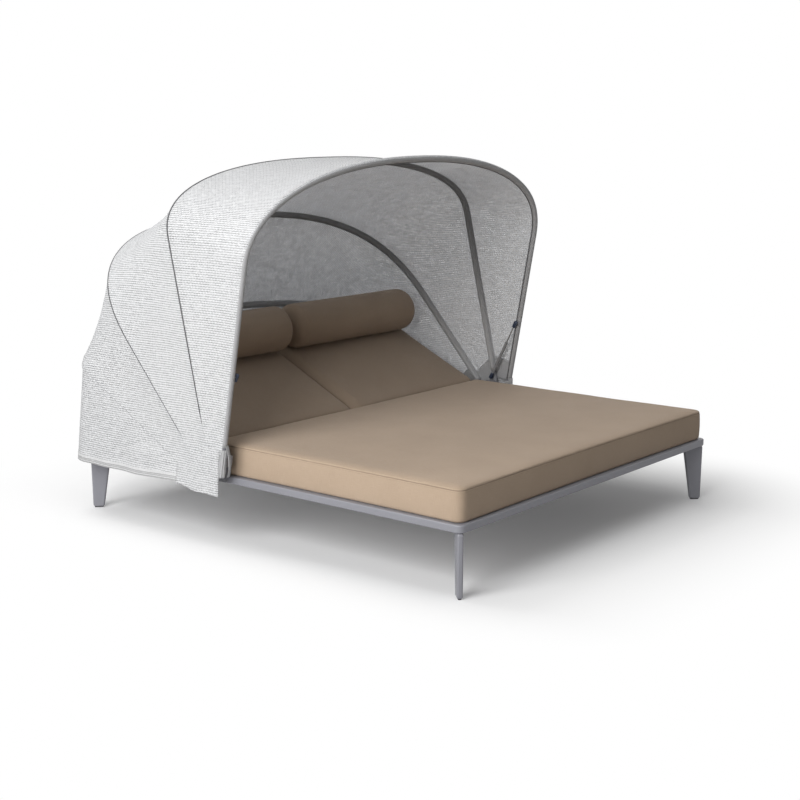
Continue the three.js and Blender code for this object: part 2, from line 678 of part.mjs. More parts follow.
// Domed nut on the end of the pivot stud
function pivotNut() {
  const dome = capNut.length * capNut.domeShare;
  const wall = capNut.length - dome;
  const start = [[0, 0], [capNut.radius, 0], [capNut.radius, wall]];
  const profile = start.map((place) => new THREE.Vector2(...place));
  const steps = 3;
  for (let i = 1; i < steps; i += 1) {
    const angle = (halfOf(Math.PI) * i) / steps;
    profile.push(new THREE.Vector2(capNut.radius * Math.cos(angle), wall + dome * Math.sin(angle)));
  }
  profile.push(new THREE.Vector2(0, capNut.length));
  const turned = new THREE.LatheGeometry(profile, 14).rotateZ(-halfOf(Math.PI));
  return turned.translate(stackOuter + plateGap + seat, pivotY, pivotZ);
}
for (const [side, mirror] of [['right', (geometry) => geometry], ['left', mirrored]]) {
  add(base, `pivot_bracket_${side}`, mirror(pivotBracket()), castMetal);
  add(base, `pivot_nut_${side}`, mirror(pivotNut()), zincSteel);
}

// Gas struts, drawn upright at the origin and laid from the lower stud to the upper one
const strutFoot = new THREE.Vector3(0, -forwardOf(1), strut.lower).applyMatrix4(hoopGroups[1].matrixWorld);
const strutHead = new THREE.Vector3(0, -forwardOf(0), strut.upper).applyMatrix4(hoopGroups[0].matrixWorld);
const strutSpan = strutHead.clone().sub(strutFoot);

function strutCylinder() {
  const half = halfOf(strutRod.eyeThickness);
  const bodyTop = strutBody.neck + strutBody.length;
  const added = [
    barX(strutRod.eyeRadius, -half, half, 0, 0, 14),
    barZ(strutBody.neckRadius, 0, 0, strutRod.eyeRadius - weldOver, strutBody.neck + weldOver, 12),
    barZ(strutBody.radius, 0, 0, strutBody.neck, bodyTop, 14),
  ];
  const cuts = [
    barX(strut.studRadius + strut.studPlay, -half - cutOver, half + cutOver, 0, 0, 12),
    barZ(strutBody.boreRadius, 0, 0, bodyTop - strutBody.boreDepth, bodyTop + cutOver, 10),
  ];
  return weld(added, cuts);
}

function strutPiston() {
  const half = halfOf(strutRod.eyeThickness);
  const length = strutSpan.length();
  const inner = strutBody.neck + strutBody.length - strutRod.inside;
  return weld([
    barX(strutRod.eyeRadius, -half, half, 0, length, 14),
    barZ(strutRod.neckRadius, 0, 0, length - strutRod.neck, length - strutRod.eyeRadius + weldOver, 12),
    barZ(strutRod.radius, 0, 0, inner, length - strutRod.neck + weldOver, 10),
  ]);
}

// Saddle on the inner side of the front hoop that carries the upper stud
function strutSaddle() {
  const half = halfOf(saddle.length);
  const forward = forwardOf(0);
  const tip = strutLayer + halfOf(strutRod.eyeThickness) + seat;
  const added = [
    barZ(saddle.radius, halfSpan, -forward, strut.upper - half, strut.upper + half),
    barX(strut.studRadius, tip, halfSpan - tube.radius - saddle.play, -forward, strut.upper, 12),
  ];
  const foot = strut.upper - half - cutOver;
  const head = strut.upper + half + cutOver;
  const bore = barZ(tube.radius + saddle.play, halfSpan, -forward, foot, head);
  const outer = halfSpan + saddle.radius + cutOver;
  const side = 2 * saddle.radius;
  const open = box(halfSpan + saddle.wrap, outer, -forward - side, -forward + side, foot, head);
  return weld(added, [bore, open]);
}
for (const [side, mirror, sign] of [['right', (geometry) => geometry, 1], ['left', mirrored, -1]]) {
  const group = new THREE.Group();
  group.position.set(sign * strutLayer, strutFoot.y, strutFoot.z);
  group.rotation.x = Math.atan2(-strutSpan.y, strutSpan.z);
  part.add(group);
  add(group, `strut_cylinder_${side}`, strutCylinder(), strutPaint);
  add(group, `strut_rod_${side}`, strutPiston(), zincSteel);
  add(hoopGroups[0], `strut_saddle_${side}`, mirror(strutSaddle()), castMetal);
}

// Canopy cloth. A row holds the inner and outer points over one hoop, close to its tube and
// clear of its socket at the foot.
const footStandOff = socket.outerRadius + seat;
function clothRow(k) {
  const path = new HoopCurve(hoops[k], cloth.start, forwardOf(k));
  const placed = hoopGroups[k].matrixWorld;
  const row = [];
  for (let i = 0; i <= path.total; i += 1) {
    const { x, z, nx, nz } = path.station(i / path.total);
    const at = (off) => new THREE.Vector3(x + nx * off, -path.forward, z + nz * off).applyMatrix4(placed);
    const off = i === 0 || i === path.total ? footStandOff : cloth.standOff;
    row.push({ centre: at(0), inner: at(off), outer: at(off + cloth.thickness) });
  }
  return row;
}

function pointBetween(start, end, share) {
  const between = (face) => start[face].clone().lerp(end[face], share);
  return { inner: between('inner'), outer: between('outer') };
}

// Where the cloth leaves the tube of its hoop: it lies round the tube until it faces the other row
function leavingRow(row, other, sagShare) {
  return row.map((point, i) => {
    if (!point.centre) return pointBetween(point, other[i], skirt.leaveShare);
    const before = row[Math.max(i - 1, 0)].inner;
    const along = row[Math.min(i + 1, row.length - 1)].inner.clone().sub(before).normalize();
    const out = point.outer.clone().sub(point.inner).normalize();
    const way = (other[i].centre ?? other[i].inner).clone().sub(point.centre);
    way.addScaledVector(out, -4 * sagShare * way.length());
    way.addScaledVector(along, -way.dot(along)).normalize();
    const away = out.clone().addScaledVector(way, -Math.min(out.dot(way), 0)).normalize();
    const off = point.inner.distanceTo(point.centre);
    const at = (reach) => point.centre.clone().addScaledVector(away, reach).addScaledVector(way, cloth.leave);
    return { inner: at(off), outer: at(off + cloth.thickness) };
  });
}

// Edge of the cloth at a row, a small gap away from the row's line
function edgeRow(row, leaving) {
  return row.map((point, i) => {
    const share = cloth.edgeGap / point.inner.distanceTo(leaving[i].inner);
    return pointBetween(point, leaving[i], share);
  });
}

// Rows from one hoop to the next, drawn in between them by a share of their distance
function panelRows(front, rear) {
  const from = leavingRow(front, rear, clothFall.sagShare);
  const to = leavingRow(rear, front, clothFall.sagShare);
  const lines = [edgeRow(front, from)];
  for (let r = 0; r <= clothFall.rows; r += 1) {
    const v = r / clothFall.rows;
    lines.push(from.map((point, i) => {
      const drawn = pointBetween(point, to[i], v);
      const out = front[i].outer.clone().sub(front[i].inner).normalize();
      const sag = -clothFall.sagShare * point.inner.distanceTo(to[i].inner) * 4 * v * (1 - v);
      return { inner: drawn.inner.addScaledVector(out, sag), outer: drawn.outer.addScaledVector(out, sag) };
    }));
  }
  return [...lines, edgeRow(rear, to)];
}

// Closed sheet through a list of rows
function sheetSolid(lines) {
  const columns = lines[0].length;
  const rows = lines.length - 1;
  const faceOf = (face) => lines.flatMap((line) => line.map((point) => point[face]));
  const points = [...faceOf('inner'), ...faceOf('outer')];
  const sheet = (rows + 1) * columns;
  const faces = [];
  const quad = (a, b, c, d) => faces.push([a, b, c], [a, c, d]);
  for (let r = 0; r < rows; r += 1) {
    for (let i = 0; i + 1 < columns; i += 1) {
      const a = r * columns + i;
      quad(a, a + 1, a + 1 + columns, a + columns);
      quad(sheet + a, sheet + a + columns, sheet + a + columns + 1, sheet + a + 1);
    }
  }
  for (let i = 0; i + 1 < columns; i += 1) {
    const last = rows * columns + i;
    quad(i, sheet + i, sheet + i + 1, i + 1);
    quad(last, last + 1, sheet + last + 1, sheet + last);
  }
  for (let r = 0; r < rows; r += 1) {
    const a = r * columns;
    const b = a + columns - 1;
    quad(a, a + columns, sheet + a + columns, sheet + a);
    quad(b, sheet + b, sheet + b + columns, b + columns);
  }
  return closedGeometry(points, faces);
}
const clothRows = hoops.map((hoop, k) => clothRow(k));
['canopy_front', 'canopy_middle', 'canopy_rear'].forEach((name, k) => {
  add(part, name, sheetSolid(panelRows(clothRows[k], clothRows[k + 1])), meshCloth);
});

// Skirt below the fixed hoop: flaps beside the pivots, the sides and the rear in one cloth.
// Its hem runs round the bed in plan, with a rounded corner at the rear.
function skirtHem(along) {
  const half = halfSpan;
  const side = skirtRearY - skirt.rearRadius - skirtFrontY;
  const bend = halfOf(Math.PI) * skirt.rearRadius;
  const rise = Math.min(Math.max(along, 0) / hemLine.riseLength, 1);
  const z = hemLine.height + hemLine.rise * rise;
  let place;
  if (along < side) place = { x: half, y: skirtFrontY + along, nx: 1, ny: 0 };
  else if (along < side + bend) {
    const angle = (along - side) / skirt.rearRadius;
    const y = skirtRearY - skirt.rearRadius + skirt.rearRadius * Math.sin(angle);
    const x = half - skirt.rearRadius * (1 - Math.cos(angle));
    place = { x, y, nx: Math.cos(angle), ny: Math.sin(angle) };
  } else place = { x: half - skirt.rearRadius - (along - side - bend), y: skirtRearY, nx: 0, ny: 1 };
  const wave = halfOf(fold.depth * (1 - Math.cos((2 * Math.PI * along) / fold.pitch)));
  const at = (off) => {
    const out = off + wave;
    return new THREE.Vector3(place.x + place.nx * out, place.y + place.ny * out, z);
  };
  return { inner: at(footStandOff), outer: at(footStandOff + cloth.thickness) };
}

function skirtRows() {
  const centre = halfOf(clothRows[3].length - 1);
  const half = clothRows[3].slice(0, centre + 1);
  const side = skirtRearY - skirt.rearRadius - skirtFrontY;
  const rest = halfOf(Math.PI) * skirt.rearRadius + halfSpan - skirt.rearRadius;
  const legEnd = half[tube.legSteps].inner;
  const upper = [];
  const lower = [];
  const notch = { y: skirtNotchY, z: clothRows[0][0].inner.z - cloth.edgeGap };
  const feet = clothRows.slice(1, 3).map((row) => row[0].inner);
  const flap = [notch, ...feet.map((foot) => ({ y: foot.y, z: foot.z - fold.clear }))];
  for (const { y, z } of flap) {
    const at = (off) => new THREE.Vector3(halfSpan + off, y, z);
    upper.push({ inner: at(footStandOff), outer: at(footStandOff + cloth.thickness) });
    lower.push(skirtHem(y - skirtNotchY));
  }
  const startY = half[0].inner.y;
  let run = 0;
  const archRuns = half.slice(tube.legSteps).map((point, i, list) => {
    if (i > 0) run += point.inner.distanceTo(list[i - 1].inner);
    return run;
  });
  half.forEach((point, i) => {
    upper.push(point);
    if (i <= tube.legSteps) {
      const share = (point.inner.y - startY) / (legEnd.y - startY);
      const first = startY - skirtNotchY;
      lower.push(skirtHem(first + (side - first) * share));
    } else lower.push(skirtHem(side + (rest * archRuns[i - tube.legSteps]) / run));
  });
  const across = new THREE.Vector3(-1, 1, 1);
  const turned = (entry) => Object.fromEntries(
    Object.entries(entry).map(([face, point]) => [face, point.clone().multiply(across)]));
  const whole = (list) => [...list, ...list.slice(0, -1).reverse().map(turned)];
  const top = whole(upper);
  const hem = whole(lower);
  const leaving = leavingRow(top, hem, 0);
  const lines = [edgeRow(top, leaving)];
  for (let r = 0; r <= clothFall.rows; r += 1) {
    lines.push(leaving.map((point, i) => pointBetween(point, hem[i], r / clothFall.rows)));
  }
  return lines;
}
add(part, 'canopy_skirt', sheetSolid(skirtRows()), meshCloth);

// The origin lies on the floor under the middle of the whole part
part.updateMatrixWorld(true);
const bounds = new THREE.Box3().setFromObject(part);
part.position.set(0, -halfOf(bounds.min.y + bounds.max.y), -bounds.min.z);
part.updateMatrixWorld(true);

export default part;
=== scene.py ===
"""Outdoor daybed for two with a folding mesh canopy, dressed round its packed frame.

Metres, +Z up, +X across the bed, the foot end toward -Y. Shapes are worked out with numpy on
grids, and finishes are procedural nodes on UV maps in metres or on Object coordinates.
"""
from __future__ import annotations

import json
import logging
import math
from dataclasses import Field, dataclass, field
from enum import Enum
from typing import Callable, Sequence

import bpy
import numpy as np
from mathutils import Vector
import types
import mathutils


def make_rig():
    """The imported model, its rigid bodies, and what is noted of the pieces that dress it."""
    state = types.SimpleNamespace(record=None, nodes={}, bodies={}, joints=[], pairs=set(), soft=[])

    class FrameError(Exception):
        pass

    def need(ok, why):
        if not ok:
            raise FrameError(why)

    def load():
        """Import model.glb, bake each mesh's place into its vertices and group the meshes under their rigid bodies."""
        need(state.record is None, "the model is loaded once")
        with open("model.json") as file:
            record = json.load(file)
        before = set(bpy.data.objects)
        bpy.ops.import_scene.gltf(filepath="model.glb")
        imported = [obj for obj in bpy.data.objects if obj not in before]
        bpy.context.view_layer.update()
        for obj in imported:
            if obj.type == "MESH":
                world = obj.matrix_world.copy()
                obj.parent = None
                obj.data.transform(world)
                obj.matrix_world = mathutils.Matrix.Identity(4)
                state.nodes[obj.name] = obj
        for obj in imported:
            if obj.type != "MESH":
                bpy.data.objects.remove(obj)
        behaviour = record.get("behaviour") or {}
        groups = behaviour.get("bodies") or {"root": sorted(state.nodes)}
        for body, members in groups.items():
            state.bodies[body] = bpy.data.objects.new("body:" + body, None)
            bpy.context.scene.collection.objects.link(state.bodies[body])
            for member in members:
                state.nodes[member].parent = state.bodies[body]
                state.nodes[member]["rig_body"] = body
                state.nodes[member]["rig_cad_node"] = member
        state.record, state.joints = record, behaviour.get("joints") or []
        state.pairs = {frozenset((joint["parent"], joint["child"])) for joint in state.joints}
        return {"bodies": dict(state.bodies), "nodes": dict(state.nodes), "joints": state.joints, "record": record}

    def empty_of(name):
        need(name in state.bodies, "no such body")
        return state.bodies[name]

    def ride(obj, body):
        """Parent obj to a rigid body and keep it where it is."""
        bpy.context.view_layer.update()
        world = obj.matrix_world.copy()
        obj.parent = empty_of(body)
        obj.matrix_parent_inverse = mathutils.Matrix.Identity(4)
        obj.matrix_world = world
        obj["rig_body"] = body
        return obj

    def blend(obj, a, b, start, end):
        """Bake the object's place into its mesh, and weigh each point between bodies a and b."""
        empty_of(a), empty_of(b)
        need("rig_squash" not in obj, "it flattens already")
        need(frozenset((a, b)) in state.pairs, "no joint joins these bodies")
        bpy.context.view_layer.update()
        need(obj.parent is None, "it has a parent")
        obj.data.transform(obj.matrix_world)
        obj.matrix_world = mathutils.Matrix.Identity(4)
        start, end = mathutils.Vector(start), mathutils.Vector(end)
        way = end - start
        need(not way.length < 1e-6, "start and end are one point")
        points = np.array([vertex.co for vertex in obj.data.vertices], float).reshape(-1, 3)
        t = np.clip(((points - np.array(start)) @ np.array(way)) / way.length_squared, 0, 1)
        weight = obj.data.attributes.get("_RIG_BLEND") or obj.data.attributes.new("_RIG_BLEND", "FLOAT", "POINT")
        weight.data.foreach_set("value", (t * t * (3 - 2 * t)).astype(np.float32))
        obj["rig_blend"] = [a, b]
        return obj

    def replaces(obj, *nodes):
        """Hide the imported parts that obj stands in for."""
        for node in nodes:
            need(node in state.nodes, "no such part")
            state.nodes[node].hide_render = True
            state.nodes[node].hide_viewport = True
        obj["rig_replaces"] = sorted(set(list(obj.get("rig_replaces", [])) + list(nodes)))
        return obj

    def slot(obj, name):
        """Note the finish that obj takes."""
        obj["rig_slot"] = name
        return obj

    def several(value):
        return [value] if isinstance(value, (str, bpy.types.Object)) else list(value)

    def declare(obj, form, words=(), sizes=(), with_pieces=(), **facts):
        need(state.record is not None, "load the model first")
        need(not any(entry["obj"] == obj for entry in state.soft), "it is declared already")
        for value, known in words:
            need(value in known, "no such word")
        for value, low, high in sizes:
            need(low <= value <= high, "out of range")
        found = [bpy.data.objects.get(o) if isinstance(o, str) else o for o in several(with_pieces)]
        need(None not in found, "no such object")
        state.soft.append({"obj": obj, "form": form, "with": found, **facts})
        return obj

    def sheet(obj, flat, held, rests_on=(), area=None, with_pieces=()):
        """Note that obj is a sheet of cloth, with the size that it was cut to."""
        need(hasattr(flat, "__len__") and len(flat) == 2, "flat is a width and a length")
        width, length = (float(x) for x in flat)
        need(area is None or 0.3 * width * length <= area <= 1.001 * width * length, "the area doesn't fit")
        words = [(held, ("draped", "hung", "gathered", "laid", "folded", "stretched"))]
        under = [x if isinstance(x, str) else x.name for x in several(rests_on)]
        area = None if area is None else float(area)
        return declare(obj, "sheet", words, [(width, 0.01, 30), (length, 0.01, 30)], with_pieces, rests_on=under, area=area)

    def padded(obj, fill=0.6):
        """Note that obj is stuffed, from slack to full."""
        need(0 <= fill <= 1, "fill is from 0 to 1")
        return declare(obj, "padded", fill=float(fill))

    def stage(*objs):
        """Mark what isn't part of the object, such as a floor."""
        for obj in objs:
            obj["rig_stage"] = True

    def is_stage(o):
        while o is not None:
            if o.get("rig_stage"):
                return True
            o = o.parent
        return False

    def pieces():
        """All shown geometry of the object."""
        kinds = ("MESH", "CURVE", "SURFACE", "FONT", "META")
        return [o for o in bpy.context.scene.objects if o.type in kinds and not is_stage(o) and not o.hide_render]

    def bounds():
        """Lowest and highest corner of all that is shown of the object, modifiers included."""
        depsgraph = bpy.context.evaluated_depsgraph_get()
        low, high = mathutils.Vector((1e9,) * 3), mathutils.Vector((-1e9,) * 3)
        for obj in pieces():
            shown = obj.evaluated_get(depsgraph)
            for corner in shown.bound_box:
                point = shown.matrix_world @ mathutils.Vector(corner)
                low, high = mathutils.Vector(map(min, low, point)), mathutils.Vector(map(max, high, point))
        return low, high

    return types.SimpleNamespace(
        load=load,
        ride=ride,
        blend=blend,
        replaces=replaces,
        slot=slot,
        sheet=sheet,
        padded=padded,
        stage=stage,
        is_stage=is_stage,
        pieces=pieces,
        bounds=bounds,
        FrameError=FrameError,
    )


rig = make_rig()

log = logging.getLogger("daybed")

Colour = tuple[float, float, float]
Place = tuple[float, float, float]
Pair = tuple[float, float]
Profile = tuple[Pair, ...]
Array = np.ndarray
Material = bpy.types.Material
NodeSocket = bpy.types.NodeSocket
Object = bpy.types.Object
WHITE = (1.0, 1.0, 1.0)
SIZE_FILE = "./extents.json"
CLOTH = "mesh_cloth"

# Named places of the packed frame
BED_FOOT_Y = -1.0785642
HINGE = (BED_FOOT_Y + 1.298, 0.252)
PIVOT = (BED_FOOT_Y + 1.1695, 0.280)
RAIL_TOP = 0.273
PAD_FOOT = RAIL_TOP + 0.0003
BACK_ANGLE = math.radians(25.5)
HOOP_SPAN = 0.9625
TUBE_RADIUS = 0.011


class Side(Enum):
    """Which side of the bed a piece is on, with its sign along X."""

    LEFT = -1
    RIGHT = 1

    @property
    def word(self) -> str:
        """The side's name as the nodes spell it."""
        return self.name.lower()

    @property
    def mirror(self) -> Array:
        """Factors that take a right-hand piece's points to this side."""
        return np.array([self.value, 1.0, 1.0])


# Shader maths


def adds(operation: str, words: str) -> Callable[..., Sock]:
    """Makes a Sock method of one Math node.

    Args:
        operation: the node's operation.
        words: the method's docstring.

    Returns:
        The method, whose arguments are the node's further operands.
    """
    def method(sock: Sock, *others: Sock | float) -> Sock:
        """Adds the node."""
        return sock.math(operation, *others)

    method.__doc__ = words
    return method


class Sock:
    """A socket or a number on which Python's operators add Math nodes."""

    def __init__(self, shader: Shader, source: NodeSocket | float) -> None:
        """Keeps the shader that new nodes go into, and the socket or number."""
        self.shader = shader
        self.source = source

    def math(self, operation: str, *others: Sock | float) -> Sock:
        """Adds one Math node of this socket and further operands."""
        values = dict(enumerate((self, *others)))
        node = self.shader.node("Math", values, {"operation": operation})
        return Sock(self.shader, node.outputs[0])

    __add__ = __radd__ = adds("ADD", "Sum.")
    __mul__ = __rmul__ = adds("MULTIPLY", "Product.")
    __sub__ = adds("SUBTRACT", "Difference.")
    __truediv__ = adds("DIVIDE", "Quotient.")
    __mod__ = adds("FLOORED_MODULO", "Remainder that stays positive.")
    sin = adds("SINE", "Sine of an angle in radians.")
    floor = adds("FLOOR", "Whole part.")
    abs = adds("ABSOLUTE", "Size without its sign.")
    sqrt = adds("SQRT", "Square root.")
    least = adds("MINIMUM", "The smaller of the two.")
    most = adds("MAXIMUM", "The larger of the two.")

    def __rsub__(self, other: float) -> Sock:
        """Number minus socket."""
        return Sock(self.shader, other) - self

    def rise(self, low: float, high: float) -> Sock:
        """Smooth step from 0 at low to 1 at high; falls when high is below low."""
        settings = {"interpolation_type": "SMOOTHSTEP"}
        start, end = (0.0, 1.0) if high > low else (1.0, 0.0)
        values = {"Value": self, "From Min": min(low, high), "From Max": max(low, high),
                  "To Min": start, "To Max": end}
        return Sock(self.shader, self.shader.node("MapRange", values, settings).outputs[0])


class Shader:
    """One material's node tree and the few ways in which this file adds nodes to it."""

    def __init__(self, tree: bpy.types.NodeTree) -> None:
        """Starts from an empty tree."""
        self.tree = tree
        tree.nodes.clear()

    def node(self, kind: str, values: dict | None = None, settings: dict | None = None) -> bpy.types.Node:
        """Adds a node.

        Args:
            kind: the node's type, without the prefix that all have.
            values: what its sockets hold or are linked to, by name or index.
            settings: attributes that are set first.

        Returns:
            The node.
        """
        node = self.tree.nodes.new(f"ShaderNode{kind}")
        for key, value in (settings or {}).items():
            setattr(node, key, value)
        for key, value in (values or {}).items():
            source = value.source if isinstance(value, Sock) else value
            if isinstance(source, NodeSocket):
                self.tree.links.new(source, node.inputs[key])
            elif isinstance(source, tuple) and len(source) == 3 and node.inputs[key].type == "RGBA":
                node.inputs[key].default_value = (*source, 1.0)
            else:
                node.inputs[key].default_value = source
        return node

    def place(self) -> tuple[Sock, Sock, Sock]:
        """The point's Object coordinates, as three sockets."""
        return self.split(self.node("TexCoord").outputs["Object"])

    def cloth_place(self) -> tuple[Sock, Sock]:
        """The point's place on the cloth in metres, from the piece's UV map."""
        u, v, _ = self.split(self.uv())
        return u, v

    def split(self, vector: NodeSocket) -> tuple[Sock, Sock, Sock]:
        """A vector's three parts."""
        node = self.node("SeparateXYZ", {0: vector})
        return tuple(Sock(self, out) for out in node.outputs)

    def noise(self, scale: float, detail: float = 2.0, vector: NodeSocket | None = None) -> Sock:
        """Cloudy noise from 0 to 1.

        Args:
            scale: clouds per metre.
            detail: octaves.
            vector: where it is read; Object coordinates when left out.

        Returns:
            The noise value.
        """
        where = vector or self.node("TexCoord").outputs["Object"]
        values = {"Vector": where, "Scale": scale, "Detail": detail}
        return Sock(self, self.node("TexNoise", values).outputs[0])

    def mix(self, share: Sock | float, low: Colour | NodeSocket, high: Colour | NodeSocket) -> NodeSocket:
        """A colour from low to high by a share."""
        node = self.node("Mix", {0: share, 6: low, 7: high}, {"data_type": "RGBA"})
        return node.outputs[2]

    def stretched_noise(self, across: float, along: float) -> Sock:
        """Noise on the cloth, with so many clouds per metre along U and along V."""
        place = self.node("Mapping", {0: self.uv(), 3: (across, along, 1.0)})
        return self.noise(1.0, 2.0, place.outputs[0])

    def blend(self, share: Sock | float, low: bpy.types.Node, high: bpy.types.Node) -> NodeSocket:
        """One shader mixed with another by a share."""
        values = {0: share, 1: low.outputs[0], 2: high.outputs[0]}
        return self.node("MixShader", values).outputs[0]

    def bump(self, height: Sock, strength: float, depth: float) -> NodeSocket:
        """A bumped normal of a height field, depth metres deep."""
        values = {"Strength": strength, "Distance": depth, "Height": height}
        return self.node("Bump", values).outputs[0]

    def surface(self, values: dict, glow: Sock | float = 0.0, lit: Colour = WHITE) -> None:
        """Links a Principled surface to the output.

        Args:
            values: what its sockets hold.
            glow: share of light that passes through, as through thin cloth.
            lit: the colour of that light.
        """
        body = self.node("BsdfPrincipled", values)
        if isinstance(glow, Sock) or glow:
            shine = self.node("BsdfTranslucent", {"Color": lit})
            self.output(self.blend(glow, body, shine))
        else:
            self.output(body.outputs[0])

    def output(self, shader: NodeSocket) -> None:
        """Links a shader to the material's or world's output."""
        of_world = any(node.bl_idname == "ShaderNodeBackground" for node in self.tree.nodes)
        kind = "OutputWorld" if of_world else "OutputMaterial"
        self.node(kind, {"Surface": shader})

    def seen(self) -> Sock:
        """1 where the camera, gloss or a clear path looks, 0 for light that falls on the object."""
        path = self.node("LightPath")
        camera, gloss, clear = (Sock(self, path.outputs[f"Is {kind} Ray"])
                                for kind in ("Camera", "Glossy", "Transmission"))
        return camera.most(gloss).most(clear)

    def uv(self) -> NodeSocket:
        """The piece's own UV map, in metres."""
        return self.node("TexCoord").outputs["UV"]


def new_material(name: str) -> tuple[Material, Shader]:
    """An empty material and the shader that fills it."""
    material = bpy.data.materials.new(name)
    material.use_nodes = True
    return material, Shader(material.node_tree)


# Finishes


def shade(colour: Colour, share: float) -> Colour:
    """The colour times a share."""
    return tuple(share * part for part in colour)


@dataclass(frozen=True)
class Finish:
    """A finish: the material's name, and in each kind of finish the nodes that fill it."""

    name: str

    def build(self) -> Material:
        """Builds the material."""
        material, shader = new_material(self.name)
        self.fill(shader)
        return material

    def fill(self, s: Shader) -> None:
        """Adds the finish's nodes."""
        raise NotImplementedError


@dataclass(frozen=True)
class PowderCoat(Finish):
    """Fine satin powder coat on aluminium, a little dusty toward the floor."""

    name: str = "powder_coat"
    colour: Colour = (0.235, 0.235, 0.262)
    worn: Colour = (0.30, 0.30, 0.325)
    roughness: float = 0.42
    grain_per_metre: float = 900.0
    dust_height: float = 0.12

    def fill(self, s: Shader) -> None:
        """Adds the nodes: clouds of wear, dust below the dust height, and a fine grain."""
        _, _, z = s.place()
        cloud = s.noise(7.0, 3.0)
        grain = s.noise(self.grain_per_metre, 1.0)
        dust = z.rise(self.dust_height, 0.0) * 0.35 * s.noise(40.0)
        tone = cloud * 0.5 + dust
        s.surface({
            "Base Color": s.mix(tone, self.colour, self.worn),
            "Roughness": self.roughness + cloud * 0.12 + grain * 0.06,
            "Metallic": 0.15,
            "Normal": s.bump(grain, 0.35, 0.0003),
        })


@dataclass(frozen=True)
class Paint(Finish):
    """Paint, plate or moulded plastic, with a grain in its skin and clouds of a darker shade.

    grain is the noise's clouds per metre and octaves, and relief the bump's strength and depth.
    """

    colour: Colour
    roughness: float = 0.4
    metallic: float = 0.0
    darker: float = 0.78
    grain: Pair = (150.0, 3.0)
    clouds_per_metre: float = 0.0
    unevenness: float = 0.12
    relief: Pair = (0.2, 0.0003)

    def fill(self, s: Shader) -> None:
        """Adds the nodes. Without clouds of its own, the shade follows the grain."""
        grain = s.noise(*self.grain)
        cloud = s.noise(self.clouds_per_metre) if self.clouds_per_metre else grain
        s.surface({
            "Base Color": s.mix(cloud, self.colour, shade(self.colour, self.darker)),
            "Roughness": self.roughness + grain * self.unevenness,
            "Metallic": self.metallic,
            "Normal": s.bump(grain, *self.relief),
        })


@dataclass(frozen=True)
class PadCloth(Finish):
    """Heathered outdoor cloth: a plain weave of mixed tan yarns, with stitch lines where the UV map says.

    The UV map is in metres. A second map, "seam", holds the distance from the seam and the place along it.
    """

    name: str = "pad_cloth"
    light: Colour = (0.50, 0.385, 0.285)
    dark: Colour = (0.40, 0.30, 0.215)
    thread: float = 0.0022
    stitch: float = 0.007
    stitch_inset: float = 0.0065
    yarns_per_metre: Pair = (900.0, 30.0)

    def fill(self, s: Shader) -> None:
        """Adds the nodes: the weave, streaks of yarn both ways, the seam's groove and its stitches."""
        u, v = s.cloth_place()
        turn = 2 * math.pi / self.thread
        basket = (u * turn).sin() * (v * turn).sin()
        thin, long = self.yarns_per_metre
        streaks = s.stretched_noise(thin, long) + s.stretched_noise(long, thin)
        tone = streaks * 0.55 + basket * 0.12 + s.noise(5.0, 2.0) * 0.5 - 0.35
        near, along, _ = s.split(s.node("UVMap", settings={"uv_map": "seam"}).outputs[0])
        groove = near.rise(0.0022, 0.0004)
        dash = (along % self.stitch).rise(self.stitch * 0.72, self.stitch * 0.6)
        rows = (near - self.stitch_inset).abs().rise(0.0011, 0.0004) * dash
        cloth = s.mix(tone.rise(0.0, 1.0), self.dark, self.light)
        height = basket * 0.35 + streaks * 0.5 + rows * 0.8 - groove * 1.2
        s.surface({
            # Painted shade: the groove along the seam is coloured darker; the stitch rows are dark thread.
            "Base Color": s.mix(groove * 0.6 + rows * 0.25, cloth, shade(self.dark, 0.45)),
            "Roughness": 0.86 + basket * 0.05,
            "Sheen Weight": 0.12,
            "Sheen Roughness": 0.5,
            "Specular IOR Level": 0.25,
            "Normal": s.bump(height, 0.55, 0.0007),
        })


